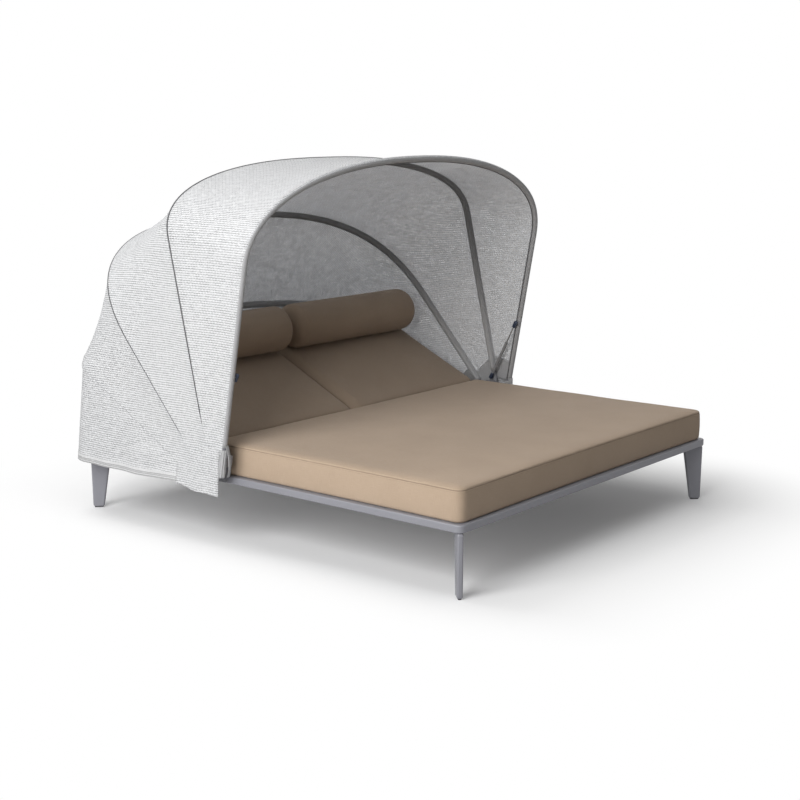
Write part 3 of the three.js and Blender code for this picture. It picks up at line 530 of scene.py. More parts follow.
@dataclass(frozen=True)
class MeshCloth(Finish):
    """Open woven canopy mesh: white ribs with staggered holes between them, no two quite alike.

    The UV map is in metres: U along the ribs, V across them. Where the weave is thin it also lets
    more light through.
    """

    name: str = "mesh_cloth"
    rib: Colour = (0.78, 0.782, 0.786)
    # Painted shade: the gaps and holes take this dark tone for the dim inside seen through them.
    gap: Colour = (0.26, 0.262, 0.266)
    rib_pitch: float = 0.0092
    hole_pitch: float = 0.0165
    flecks_per_metre: float = 88.0
    openness: float = 0.82
    glow: float = 0.21
    lit: Colour = (0.73, 0.75, 0.78)

    def fill(self, s: Shader) -> None:
        """Adds the nodes: ribs across V, holes along U, and flecks in the cloth's tone and glow."""
        u, v = s.cloth_place()
        lane = v / self.rib_pitch
        row = lane.floor()
        across = (lane % 1.0 - 0.5).abs()
        place = u / self.hole_pitch + (row % 2.0) * 0.5
        phase = (place % 1.0 - 0.5).abs()
        cell = s.node("CombineXYZ", {0: place.floor(), 1: row}).outputs[0]
        chance = Sock(s, s.node("TexWhiteNoise", {"Vector": cell}).outputs[0])
        between = across.rise(0.19, 0.38)
        hole = between * phase.rise(0.06, 0.22) * (chance * 0.7 + 0.35)
        slub = s.stretched_noise(60.0, 420.0)
        fleck = s.noise(self.flecks_per_metre, 1.0, s.uv())
        # Painted shade darkens the gaps and holes; flecks, slubs and clouds are the cloth's own uneven tone.
        dark = between * 0.14 + hole * 0.35 + (fleck - 0.5) + (slub - 0.5) * 0.35 + (s.noise(3.0) - 0.5) * 0.1
        cloth = {
            "Base Color": s.mix(dark.most(0.0).least(1.0), self.rib, self.gap),
            "Roughness": 0.8 + slub * 0.1,
            "Specular IOR Level": 0.2,
            "Alpha": 1.0 - (hole * self.openness).least(1.0),
            "Normal": s.bump((1.0 - between) * 0.8 + slub * 0.3, 0.5, 0.0008),
        }
        s.surface(cloth, (((fleck - 0.5) * 0.9 + 1.0) * self.glow).most(0.0), self.lit)


@dataclass(frozen=True)
class Webbing(Finish):
    """Close-woven tape for bindings, sleeves and seams, ribbed across, with rows of stitches.

    The UV map is in metres: U across the tape from its edge, V along it. A share of the tape, pale,
    fades to the pale tone from shoulder height down to the pivots.
    """

    colour: Colour
    glow: float = 0.0
    rib: float = 0.0016
    stitch_rows: tuple[float, ...] = ()
    stitch: float = 0.005
    pale: float = 0.0
    pale_tone: Colour = (0.8, 0.802, 0.81)
    pale_heights: Pair = (1.15, 0.4)

    def fill(self, s: Shader) -> None:
        """Adds the nodes: a twill with fuzz, the pale share and the rows of stitches."""
        u, v = s.cloth_place()
        twill = ((u + v) * (2 * math.pi / self.rib)).sin()
        tone = twill * 0.1 + s.noise(160.0, 3.0) * 0.9
        colour = s.mix(tone, self.colour, shade(self.colour, 0.62))
        # Painted light: the tape pales toward the pivots, so the legs read lit and the arch shaded.
        if self.pale:
            fade = s.place()[2].rise(*self.pale_heights) * self.pale
            colour = s.mix(fade, colour, self.pale_tone)
        dash = (v % self.stitch).rise(self.stitch * 0.86, self.stitch * 0.72)
        for place in self.stitch_rows:
            thread = (u - place).abs().rise(0.0028, 0.0014) * dash
            colour = s.mix(thread * 0.75, colour, shade(self.colour, 0.25))
        cloth = {
            "Base Color": colour,
            "Roughness": 0.85 + twill * 0.05,
            "Specular IOR Level": 0.2,
            "Normal": s.bump(tone, 0.5, 0.0006),
        }
        s.surface(cloth, self.glow, (0.7, 0.7, 0.7))


def made(finish: Finish) -> Field:
    """A dataclass field that holds the finish's material, built once."""
    return field(default_factory=finish.build)


@dataclass
class Finishes:
    """The materials of all pieces."""

    frame: Material = made(PowderCoat())
    cast: Material = made(
        Paint("cast_metal", (0.30, 0.30, 0.32), 0.5, 0.25, 0.8, (420.0, 3.0), 18.0, 0.15, (0.5, 0.0006)))
    zinc: Material = made(
        Paint("zinc_steel", (0.48, 0.49, 0.50), 0.25, 0.9, 0.7, (60.0, 4.0), 0.0, 0.25, (0.15, 0.0003)))
    strut: Material = made(Paint("strut_paint", (0.34, 0.345, 0.355), 0.38, 0.2))
    fitting: Material = made(Paint("fitting_plastic", (0.032, 0.046, 0.085), 0.45))
    nylon: Material = made(Paint("glide_nylon", (0.03, 0.03, 0.032), 0.6))
    pad: Material = made(PadCloth())
    # Painted shade: the back cushions and bolsters take the pad cloth about a fifth darker, for the shade under the
    # canopy.
    back_pad: Material = made(
        PadCloth("back_pad_cloth", (0.405, 0.315, 0.236), (0.325, 0.245, 0.180)))
    mesh: Material = made(MeshCloth())
    # Painted light: the sleeve's tape pales down the legs toward the pivots.
    sleeve: Material = made(Webbing("sleeve_webbing", (0.34, 0.341, 0.345), 0.36, pale=0.7))
    binding: Material = made(Webbing("edge_binding", (0.57, 0.572, 0.58), 0.16))
    patch: Material = made(Webbing("patch_cloth", (0.74, 0.742, 0.75), 0.40))
    hem: Material = made(
        Webbing("hem_cloth", (0.88, 0.882, 0.886), 0.16, stitch_rows=(0.0025, 0.0105, 0.0165)))
    seam: Material = made(Webbing("seam_welt", (0.16, 0.16, 0.165)))


# Grids of points


@dataclass
class Grid:
    """A surface sampled on rows and columns, with one UV pair for each corner.

    points is (rows, columns, 3). uv is (rows, columns, 2), or one column more in a closed grid, whose
    columns wrap round and whose first and last rows are capped.
    """

    points: Array
    uv: Array
    closed: bool = False
    seam: Array | None = None

    def build(self, name: str, flip: bool = False) -> Object:
        """Makes the mesh object.

        Args:
            name: the piece's name.
            flip: turns the faces over.

        Returns:
            The object, at the origin.
        """
        rows, columns = self.points.shape[:2]
        last = columns if self.closed else columns - 1
        r, c = np.meshgrid(np.arange(rows - 1), np.arange(last), indexing="ij")
        r, c = r.ravel(), c.ravel()
        right = (c + 1) % columns
        near, far = r * columns, (r + 1) * columns
        quads = np.stack([near + c, near + right, far + right, far + c], 1)
        wide = self.uv.shape[1]
        uv_index = np.stack([r * wide + c, r * wide + c + 1, (r + 1) * wide + c + 1, (r + 1) * wide + c], 1)
        if flip:
            quads, uv_index = quads[:, ::-1], uv_index[:, ::-1]
        loops, uv_loops = quads.ravel(), uv_index.ravel()
        starts = np.arange(len(quads)) * 4
        if self.closed:
            for row, turned in ((0, True), (rows - 1, False)):
                ring = row * columns + np.arange(columns)
                ring_uv = row * wide + np.arange(columns)
                if turned != flip:
                    ring, ring_uv = ring[::-1], ring_uv[::-1]
                starts = np.append(starts, len(loops))
                loops, uv_loops = np.append(loops, ring), np.append(uv_loops, ring_uv)
        mesh = bpy.data.meshes.new(name)
        mesh.vertices.add(rows * columns)
        mesh.vertices.foreach_set("co", self.points.reshape(-1).astype(np.float32))
        mesh.loops.add(len(loops))
        mesh.loops.foreach_set("vertex_index", loops.astype(np.int32))
        mesh.polygons.add(len(starts))
        mesh.polygons.foreach_set("loop_start", starts.astype(np.int32))
        mesh.update(calc_edges=True)
        for layer, values in (("UVMap", self.uv), ("seam", self.seam)):
            if values is not None:
                chosen = values.reshape(-1, 2)[uv_loops].reshape(-1).astype(np.float32)
                mesh.uv_layers.new(name=layer).data.foreach_set("uv", chosen)
        mesh.polygons.foreach_set("use_smooth", np.ones(len(starts), bool))
        mesh.validate()
        obj = bpy.data.objects.new(name, mesh)
        bpy.context.scene.collection.objects.link(obj)
        return obj


def unit(vectors: Array) -> Array:
    """Each vector divided by its length."""
    return vectors / np.maximum(np.linalg.norm(vectors, axis=-1, keepdims=True), 1e-12)


def dot(a: Array, b: Array) -> Array:
    """Scalar products, kept as a last axis of one."""
    return (a * b).sum(-1, keepdims=True)


def side_by_side(*parts: Array) -> Array:
    """The parts, broadcast to one shape, as a new last axis."""
    return np.stack(np.broadcast_arrays(*parts), -1)


def lengths(points: Array, axis: int) -> Array:
    """Distance run along an axis of a point grid, starting at 0: the sum of |p(i) - p(i-1)|."""
    steps = np.linalg.norm(np.diff(points, axis=axis), axis=-1)
    run = np.cumsum(steps, axis=axis)
    first = np.zeros_like(np.take(run, [0], axis=axis))
    return np.concatenate([first, run], axis=axis)


def smooth_step(value: Array, low: float, high: float) -> Array:
    """3t^2 - 2t^3 of t, which runs from 0 at low to 1 at high."""
    t = np.clip((value - low) / (high - low), 0, 1)
    return t * t * (3 - 2 * t)


def waves(x: Array, y: Array, seed: int, size: float, count: int = 7) -> Array:
    """Soft unevenness: the mean of plane waves sin(k . (x, y) + phase) of wavelengths near a size."""
    rng = np.random.default_rng(seed)
    total = np.zeros_like(x)
    for _ in range(count):
        angle, phase = rng.uniform(0, 2 * math.pi, 2)
        k = 2 * math.pi / (size * rng.uniform(0.6, 1.7))
        total += np.sin(k * (x * math.cos(angle) + y * math.sin(angle)) + phase)
    return total / count


def curve_through(rows: Array, steps: int) -> Array:
    """Catmull-Rom rows through control rows, so many steps to each stretch, smooth along axis 0."""
    padded = np.concatenate([2 * rows[:1] - rows[1:2], rows, 2 * rows[-1:] - rows[-2:-1]])
    out = []
    for i in range(len(rows) - 1):
        a, b, c, d = padded[i:i + 4]
        for t in np.arange(steps) / steps:
            out.append(0.5 * (2 * b + (c - a) * t + (2 * a - 5 * b + 4 * c - d) * t ** 2
                              + (3 * b - a - 3 * c + d) * t ** 3))
    return np.array([*out, rows[-1]])


def tube_along(centre: Array, radius: Array | float, sides: int, across: Array) -> Grid:
    """Round tube: p + r (cos a * across + sin a * (tangent x across)) round each centre point.

    Args:
        centre: the line's points.
        radius: one radius, or one for each point.
        sides: points round the tube.
        across: one vector for each point that is not along the line.

    Returns:
        The tube's grid, closed at both ends.
    """
    tangent = unit(np.gradient(centre, axis=0))
    side = unit(across - tangent * dot(across, tangent))
    other = np.cross(tangent, side)
    angle = 2 * math.pi * np.arange(sides) / sides
    reach = np.broadcast_to(np.asarray(radius, float), len(centre))[:, None, None]
    ring = np.cos(angle)[None, :, None] * side[:, None] + np.sin(angle)[None, :, None] * other[:, None]
    points = centre[:, None] + reach * ring
    run = lengths(centre[None], 1)[0]
    u = np.arange(sides + 1) / sides * 2 * math.pi * float(np.mean(radius))
    uv = side_by_side(u[None], run[:, None])
    return Grid(points, uv, closed=True)


def dress(obj: Object, material: Material) -> Object:
    """Gives the piece its one material."""
    obj.data.materials.clear()
    obj.data.materials.append(material)
    return obj


def thicken(obj: Object, thickness: float) -> None:
    """Gives a sheet its thickness, half to each side, with a Solidify modifier."""
    wall = obj.modifiers.new("thickness", "SOLIDIFY")
    wall.thickness = thickness
    wall.offset = 0.0


def own_uv(points: Array) -> Array:
    """UV in metres: U is the run along the rows' direction, V the run along the columns'."""
    return np.stack([lengths(points, 0), lengths(points, 1)], -1)


def add_piece(grid: Grid, name: str, material: Material, slot: str, body: str | None = None,
              replaced: str | None = None, thickness: float = 0.0, flip: bool = False) -> Object:
    """Builds one piece and declares it.

    Args:
        grid: its surface.
        name: the piece's name.
        material: its finish.
        slot: the record's material that it stands for.
        body: the body it rides on, or None where it blends between two.
        replaced: the frame's node that it takes the place of, if any.
        thickness: wall thickness; 0 leaves the grid as it is.
        flip: turns the faces over.

    Returns:
        The dressed object.
    """
    obj = dress(grid.build(name, flip), material)
    if replaced:
        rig.replaces(obj, replaced)
    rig.slot(obj, slot)
    if body:
        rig.ride(obj, body)
    if thickness:
        thicken(obj, thickness)
    log.info("%s", name)
    return obj


def declare_sheet(obj: Object, points: Array, cut: Pair, held: str,
                  rests_on: list[str]) -> None:
    """Declares a cloth with the size that it is cut from, and reports its measures.

    Its area is the sum over the grid's cells of |d1 x d2| / 2, of each cell's diagonals.

    Args:
        obj: the cloth.
        points: its grid.
        cut: the flat size.
        held: how it is held.
        rests_on: the nodes that carry it.
    """
    one = points[1:, 1:] - points[:-1, :-1]
    two = points[1:, :-1] - points[:-1, 1:]
    area = float(0.5 * np.linalg.norm(np.cross(one, two), axis=-1).sum())
    across, along = lengths(points, 0)[-1].max(), lengths(points, 1)[:, -1].max()
    log.info("%s: %.2f m2, %.2f across, %.2f along", obj.name, area, across, along)
    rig.sheet(obj, flat=cut, held=held, area=round(area, 2), rests_on=rests_on)


# Hoops


@dataclass(frozen=True)
class Hoop:
    """One canopy hoop: straight legs and a super-ellipse arch, leaning about the pivot.

    In its own plane the centre line is x = span * sgn(cos a) |cos a|^(2/n) and
    z = leg + (height - leg) |sin a|^(2/n), above legs that stand at x = +-span. n is the squareness.
    lean is in degrees from upright toward the foot end, and forward is how far the plane stands
    ahead of the pivot.
    """

    name: str
    body: str
    lean: float
    leg: float
    height: float
    squareness: float
    forward: float

    def line(self, t: Array) -> tuple[Array, Array]:
        """Centre line and outward direction.

        Args:
            t: 0 to 1 up the right leg from the cloth's start, 1 to 2 over the arch, 2 to 3 down the left.

        Returns:
            Points and unit vectors, both in the frame's own axes.
        """
        start = Canopy.START
        climb = np.where(t < 1, t, np.where(t > 2, 3 - t, 1.0))
        angle = math.pi * np.clip(t - 1, 0, 1)
        power = 2 / self.squareness
        cos, sin = np.cos(angle), np.maximum(np.sin(angle), 0)
        cos = np.where(t <= 1, 1.0, np.where(t >= 2, -1.0, cos))
        sin = np.where((t <= 1) | (t >= 2), 0.0, sin)
        across = np.sign(cos) * np.abs(cos) ** power
        up = sin ** power
        rise = self.height - self.leg
        x = HOOP_SPAN * across
        z = np.where((t < 1) | (t > 2), start + (self.leg - start) * climb, self.leg + rise * up)
        nx = np.sign(across) * np.abs(across) ** (self.squareness - 1) / HOOP_SPAN
        nz = up ** (self.squareness - 1) / rise
        flat = np.zeros_like(x)
        return self.placed(x, flat - self.forward, z), unit(self.turned(nx, flat, nz))

    def turned(self, x: Array, y: Array, z: Array) -> Array:
        """Turns directions about X by the lean: (x, y cos - z sin, y sin + z cos)."""
        c, s = math.cos(math.radians(self.lean)), math.sin(math.radians(self.lean))
        return side_by_side(x, y * c - z * s, y * s + z * c)

    def placed(self, x: Array, y: Array, z: Array) -> Array:
        """Points of the hoop's own plane, turned and moved to the pivot."""
        return self.turned(x, y, z) + np.array([0.0, *PIVOT])

    @property
    def normal(self) -> Array:
        """Direction across the hoop's plane, toward the rear."""
        return self.turned(np.array(0.0), np.array(1.0), np.array(0.0))


# The hoops' planes stand side by side at the pivot, one pitch apart
PITCH = 0.034
HOOPS = (
    Hoop("hoop_1", "hoop_1", 10.3, 0.849, 1.236, 2.26, 1.5 * PITCH),
    Hoop("hoop_2", "hoop_2", -12.7, 0.933, 1.216, 2.41, 0.5 * PITCH),
    Hoop("hoop_3", "hoop_3", -41.1, 0.626, 1.241, 2.68, -0.5 * PITCH),
    Hoop("hoop_4", "base", -61.2, 0.770, 1.083, 2.05, -1.5 * PITCH),
)


def even_stations(count: int) -> Array:
    """Values of t whose points are evenly spaced along the hoops, on average over the four."""
    fine = np.linspace(0, 3, 6001)
    run = np.mean([lengths(hoop.line(fine)[0][None], 1)[0] for hoop in HOOPS], axis=0)
    return np.interp(np.linspace(0, run[-1], count), run, fine)


# Canopy


@dataclass
class Canopy:
    """The cloth on the hoops: three panels, their sleeves and welts, and the classes for the rest.

    The cloth starts START up each leg and lies STAND_OFF from the tubes' centre lines. It leaves a
    tube in a straight run of LEAVE and sags by SAG times the distance between two hoops.
    """

    START = 0.120
    STAND_OFF = 0.0121
    THICKNESS = 0.0014
    LEAVE = 0.003
    SAG = 0.026

    finishes: Finishes
    cuts: dict[str, Pair] = field(default_factory=lambda: {
        "canopy_front": (0.52, 4.1), "canopy_middle": (0.64, 4.1), "canopy_rear": (0.46, 4.0)})
    columns: int = 221
    rows: int = 26
    wrap_rows: int = 4
    foot_lap: float = 0.018
    foot_flare: float = 0.0042
    sleeve_lip: float = 0.015
    seam_start_radius: float = 0.20
    crease_height: float = 0.0022
    crease_pitch: float = 0.35
    socket_depth: float = 0.050
    tube_sides: int = 20
    tube_stations: int = 301
    tape: float = 0.0012
    fan_reach: float = 0.1
    sleeve_start: float = 0.04
    sleeve_bulge: float = 0.0006
    sleeve_slack: float = 0.0016
    welt_radii: tuple[float, ...] = (0.0030, 0.0024, 0.0011)
    welt_low_shares: tuple[float, ...] = (0.75, 0.45, 0.7)
    welt_heights: Pair = (0.45, 0.95)

    def stations(self) -> Array:
        """Even stations with a short lap past each end, down to the hoops' feet."""
        return np.concatenate([[-self.foot_lap], even_stations(self.columns), [3 + self.foot_lap]])

    def flare(self, t: Array) -> Array:
        """Extra stand-off near the legs' ends, where the cloth passes over the feet."""
        return self.foot_flare * (1 - smooth_step(np.minimum(t, 3 - t), -0.02, 0.03))[:, None]

    def sides(self, k: int, other: int, t: Array) -> tuple[Array, Array, Array, Array]:
        """Frame of the cloth where it leaves hoop k toward another hoop.

        way is the direction to the other hoop, less 4 * sag * distance outward, made square to the tube;
        away is the outward direction made square to way where it leans back over it.

        Args:
            k: the hoop the cloth leaves.
            other: the hoop it goes to.
            t: stations.

        Returns:
            Centre, outward direction, way and away.
        """
        centre, out = HOOPS[k].line(t)
        goal = HOOPS[other].line(t)[0]
        along = unit(np.gradient(centre, axis=0))
        way = goal - centre
        way = way - out * 4 * self.SAG * np.linalg.norm(way, axis=-1, keepdims=True)
        way = unit(way - along * dot(way, along))
        away = unit(out - way * np.minimum(dot(out, way), 0))
        return centre, out, way, away

    def panel_points(self, front: int, rear: int, t: Array, lift: float = 0.0) -> tuple[Array, Array]:
        """Cloth from the crown of one hoop to the crown of the next.

        Round each tube: centre + r * slerp(out, away). Between them: a straight lerp less
        sag * distance * 4 v (1 - v) outward, with shallow tension folds.

        Args:
            front: index of the front hoop.
            rear: index of the rear hoop.
            t: stations, one for each column.
            lift: extra stand-off; below 0 it lies inside the cloth.

        Returns:
            Points (rows, columns, 3) and the share of the rear hoop in each row.
        """
        reach = self.STAND_OFF + lift + 0.5 * self.THICKNESS
        ends = []
        for k, other in ((front, rear), (rear, front)):
            centre, out, way, away = self.sides(k, other, t)
            far = reach + self.flare(t)
            arcs = [centre + far * unit(out + (away - out) * f) for f in np.linspace(0, 1, self.wrap_rows)]
            arcs.append(centre + far * away + way * self.LEAVE)
            ends.append((arcs, out))
        start, goal = ends[0][0][-1], ends[1][0][-1]
        v = np.linspace(0, 1, self.rows)[1:-1]
        out = unit(ends[0][1] * (1 - v[:, None, None]) + ends[1][1] * v[:, None, None])
        span = np.linalg.norm(goal - start, axis=-1)[None, :, None]
        bow = 4 * v * (1 - v)
        run = lengths(start[None], 1)
        drop = v[:, None] * span[..., 0]
        crease = waves(np.broadcast_to(run, drop.shape), drop, 11 + front, self.crease_pitch)
        middle = start + (goal - start) * v[:, None, None]
        middle = middle - out * (self.SAG * span * bow[:, None, None])
        middle = middle + out * (self.crease_height * crease[..., None] * bow[:, None, None])
        points = np.concatenate([np.array(ends[0][0]), middle, np.array(ends[1][0][::-1])])
        share = np.concatenate([np.zeros(self.wrap_rows + 1), v, np.ones(self.wrap_rows + 1)])
        return points, share

    @staticmethod
    def cloth_uv(points: Array, first_u: Array | float = 0.0) -> Array:
        """UV in metres: U is the run along the rows, V the foot's height plus the run in X and Z."""
        u = lengths(points, 0) + first_u
        flat = points * np.array([1.0, 0.0, 1.0])
        half = points.shape[1] // 2
        run = lengths(flat, 1)
        up = run[:, half:half + 1] - np.abs(run - run[:, half:half + 1])
        return np.stack([u, points[:, :1, 2] + up], -1)

    def fan(self, obj: Object, front: int, rear: int, share: Array, columns: int) -> None:
        """Lets a panel turn with its two hoops, by its own share between them.

        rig.blend spreads its weights along a straight line, which can't follow a fan of cloth, so the
        same weights are spread again from hoop to hoop.
        """
        a, b = HOOPS[front], HOOPS[rear]
        middle = math.radians(0.5 * (a.lean + b.lean))
        across = Vector((0.0, math.cos(middle), math.sin(middle)))
        centre = Vector((0.0, *PIVOT))
        reach = across * self.fan_reach
        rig.blend(obj, a.body, b.body, start=centre - reach, end=centre + reach)
        weights = obj.data.attributes.get("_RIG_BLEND")
        if weights is not None:
            weights.data.foreach_set("value", np.repeat(share, columns).astype(np.float32))

    def panels(self) -> None:
        """The three panels between the hoops, each with the size that it is cut from."""
        t = self.stations()
        first_u = 0.0
        for k, (name, cut) in enumerate(self.cuts.items()):
            points, share = self.panel_points(k, k + 1, t)
            uv = self.cloth_uv(points, first_u)
            first_u = uv[-1:, :, 0]
            obj = add_piece(Grid(points, uv), f"{name}_cloth", self.finishes.mesh, CLOTH, replaced=name)
            self.fan(obj, k, k + 1, share, len(t))
            thicken(obj, self.THICKNESS)
            carriers = [f"{hoop.name}_tube" for hoop in HOOPS[k:k + 2]]
            declare_sheet(obj, points, cut, "stretched", carriers)

    def tubes(self) -> None:
        """Smooth round tubes in place of the frame's eight-sided ones."""
        for hoop in HOOPS:
            centre, _ = hoop.line(even_stations(self.tube_stations))
            foot = self.START - self.socket_depth
            low = hoop.placed(np.array([HOOP_SPAN]), np.array([-hoop.forward]), np.array([foot]))
            line = np.concatenate([low, centre, low * Side.LEFT.mirror])
            tube = tube_along(line, TUBE_RADIUS, self.tube_sides, np.broadcast_to(hoop.normal, line.shape))
            add_piece(tube, f"{hoop.name}_round_tube", self.finishes.frame, "frame_metal", hoop.body,
                      f"{hoop.name}_tube")

    def strip(self, name: str, rows: Array, body: str, material: Material) -> None:
        """A strip of cloth through control rows (rows, columns, 3) that rides on one body."""
        points = curve_through(rows, 3)
        add_piece(Grid(points, own_uv(points)), name, material, CLOTH, body, thickness=self.tape)

    def sleeves(self) -> None:
        """Sleeves sewn inside the panels, which hold the second to fourth tubes."""
        t = even_stations(self.columns)
        t = t[(t > self.sleeve_start) & (t < 3 - self.sleeve_start)]
        reach = self.STAND_OFF - self.tape
        body = TUBE_RADIUS + self.sleeve_slack
        for k in (1, 2, 3):
            hoop = HOOPS[k]
            centre, out, way, away = self.sides(k, k - 1, t)
            _, _, back, back_away = self.sides(k, k + 1, t) if k < 3 else (None, None, -way, out)
            front, rear = ([
                centre + up * reach + aside * self.sleeve_lip,
                centre + up * reach * 0.75 + aside * (body + self.sleeve_bulge),
                centre + unit(aside - out * 0.35) * body,
                centre + unit(aside * 0.55 - out) * body,
            ] for up, aside in ((away, way), (back_away, back)))
            rows = np.array([*front, centre - out * body, *rear[::-1]])
            self.strip(f"sleeve_{hoop.name}", rows, hoop.body, self.finishes.sleeve)

    def seams(self) -> None:
        """Welts along the crown of the second to fourth hoops, outside, down to the foot patches."""
        fine = even_stations(1201)
        finishes = (self.finishes.seam, self.finishes.seam, self.finishes.binding)
        for hoop, width, low, material in zip(HOOPS[1:], self.welt_radii, self.welt_low_shares, finishes):
            centre, out = hoop.line(fine)
            radius = np.linalg.norm(centre[:, 1:] - np.array(PIVOT), axis=-1)
            keep = radius > self.seam_start_radius
            line = (centre + out * (self.STAND_OFF + self.THICKNESS + 0.2 * width))[keep][::3]
            taper = np.minimum(1, np.minimum(np.arange(len(line)), np.arange(len(line))[::-1]) / 6 + 0.2)
            slim = low + (1 - low) * smooth_step(line[:, 2], *self.welt_heights)
            tube = tube_along(line, width * taper * slim, 6, np.broadcast_to(hoop.normal, line.shape))
            add_piece(tube, f"welt_{hoop.name}", material, CLOTH, hoop.body)

    def build(self) -> None:
        """Builds the whole cloth."""
        self.tubes()
        self.panels()
        self.sleeves()
        FrontEdge(self).build()
        self.seams()
        PivotCloth(self).build()
        Skirt(self).build()


@dataclass
class FrontEdge:
    """Front edge: the cloth turned over the tube, then tape round its front to a seam inside.

    The cloth turns past the crown by an angle that grows from the legs to the middle of the arch:
    fold_angles, in degrees. The tape goes on round the front to tape_angle, in radians.
    """

    canopy: Canopy
    start: float = 0.02
    slack: float = 0.0018
    bulge: float = 0.001
    tape_angle: float = 1.95
    fold_angles: Pair = (26.0, 74.0)
    seam_radius: float = 0.0025

    def build(self) -> None:
        """Builds the turned cloth, its binding and the seam."""
        canopy = self.canopy
        t = canopy.stations()
        centre, out, way, away = canopy.sides(0, 1, t)
        reach = canopy.STAND_OFF + 0.5 * canopy.THICKNESS
        low, high = self.fold_angles
        turn = np.radians(low + (high - low) * np.sin(math.pi * np.clip(t - 1, 0, 1)))

        def round_front(angle: Array, radius: float) -> Array:
            """Points round the tube at an angle from the crown toward the front."""
            direction = unit(out * np.cos(angle)[:, None] - way * np.sin(angle)[:, None])
            return centre + direction * (radius + canopy.flare(t))

        cloth = np.array([round_front(turn * f, reach) for f in np.linspace(0, 1, 7)])
        add_piece(Grid(cloth, canopy.cloth_uv(cloth)), "front_edge_turning", canopy.finishes.mesh, CLOTH,
                  "hoop_1", thickness=canopy.THICKNESS, flip=True)
        keep = (t > self.start) & (t < 3 - self.start)
        body = TUBE_RADIUS + self.slack
        inner = canopy.STAND_OFF - canopy.sleeve_slack
        outer = reach + canopy.tape
        to_back = [round_front(turn + (self.tape_angle - turn) * f, outer - self.bulge * f)
                   for f in np.linspace(-0.04, 1, 6)]
        rows = np.array([
            *to_back,
            centre + unit(-out - way) * body,
            centre - out * body,
            centre + unit(0.8 * way - out) * body,
            centre + unit(way - 0.35 * out) * body,
            centre + away * inner * 0.7 + way * (body + self.bulge),
            centre + away * inner + way * canopy.sleeve_lip,
        ])
        canopy.strip("front_edge_binding", rows[:, keep], "hoop_1", canopy.finishes.binding)
        line = (centre + unit(0.12 * way - out) * (body + canopy.tape))[keep]
        seam = tube_along(line, self.seam_radius, 6, out[keep])
        add_piece(seam, "front_edge_seam", canopy.finishes.seam, CLOTH, "hoop_1")


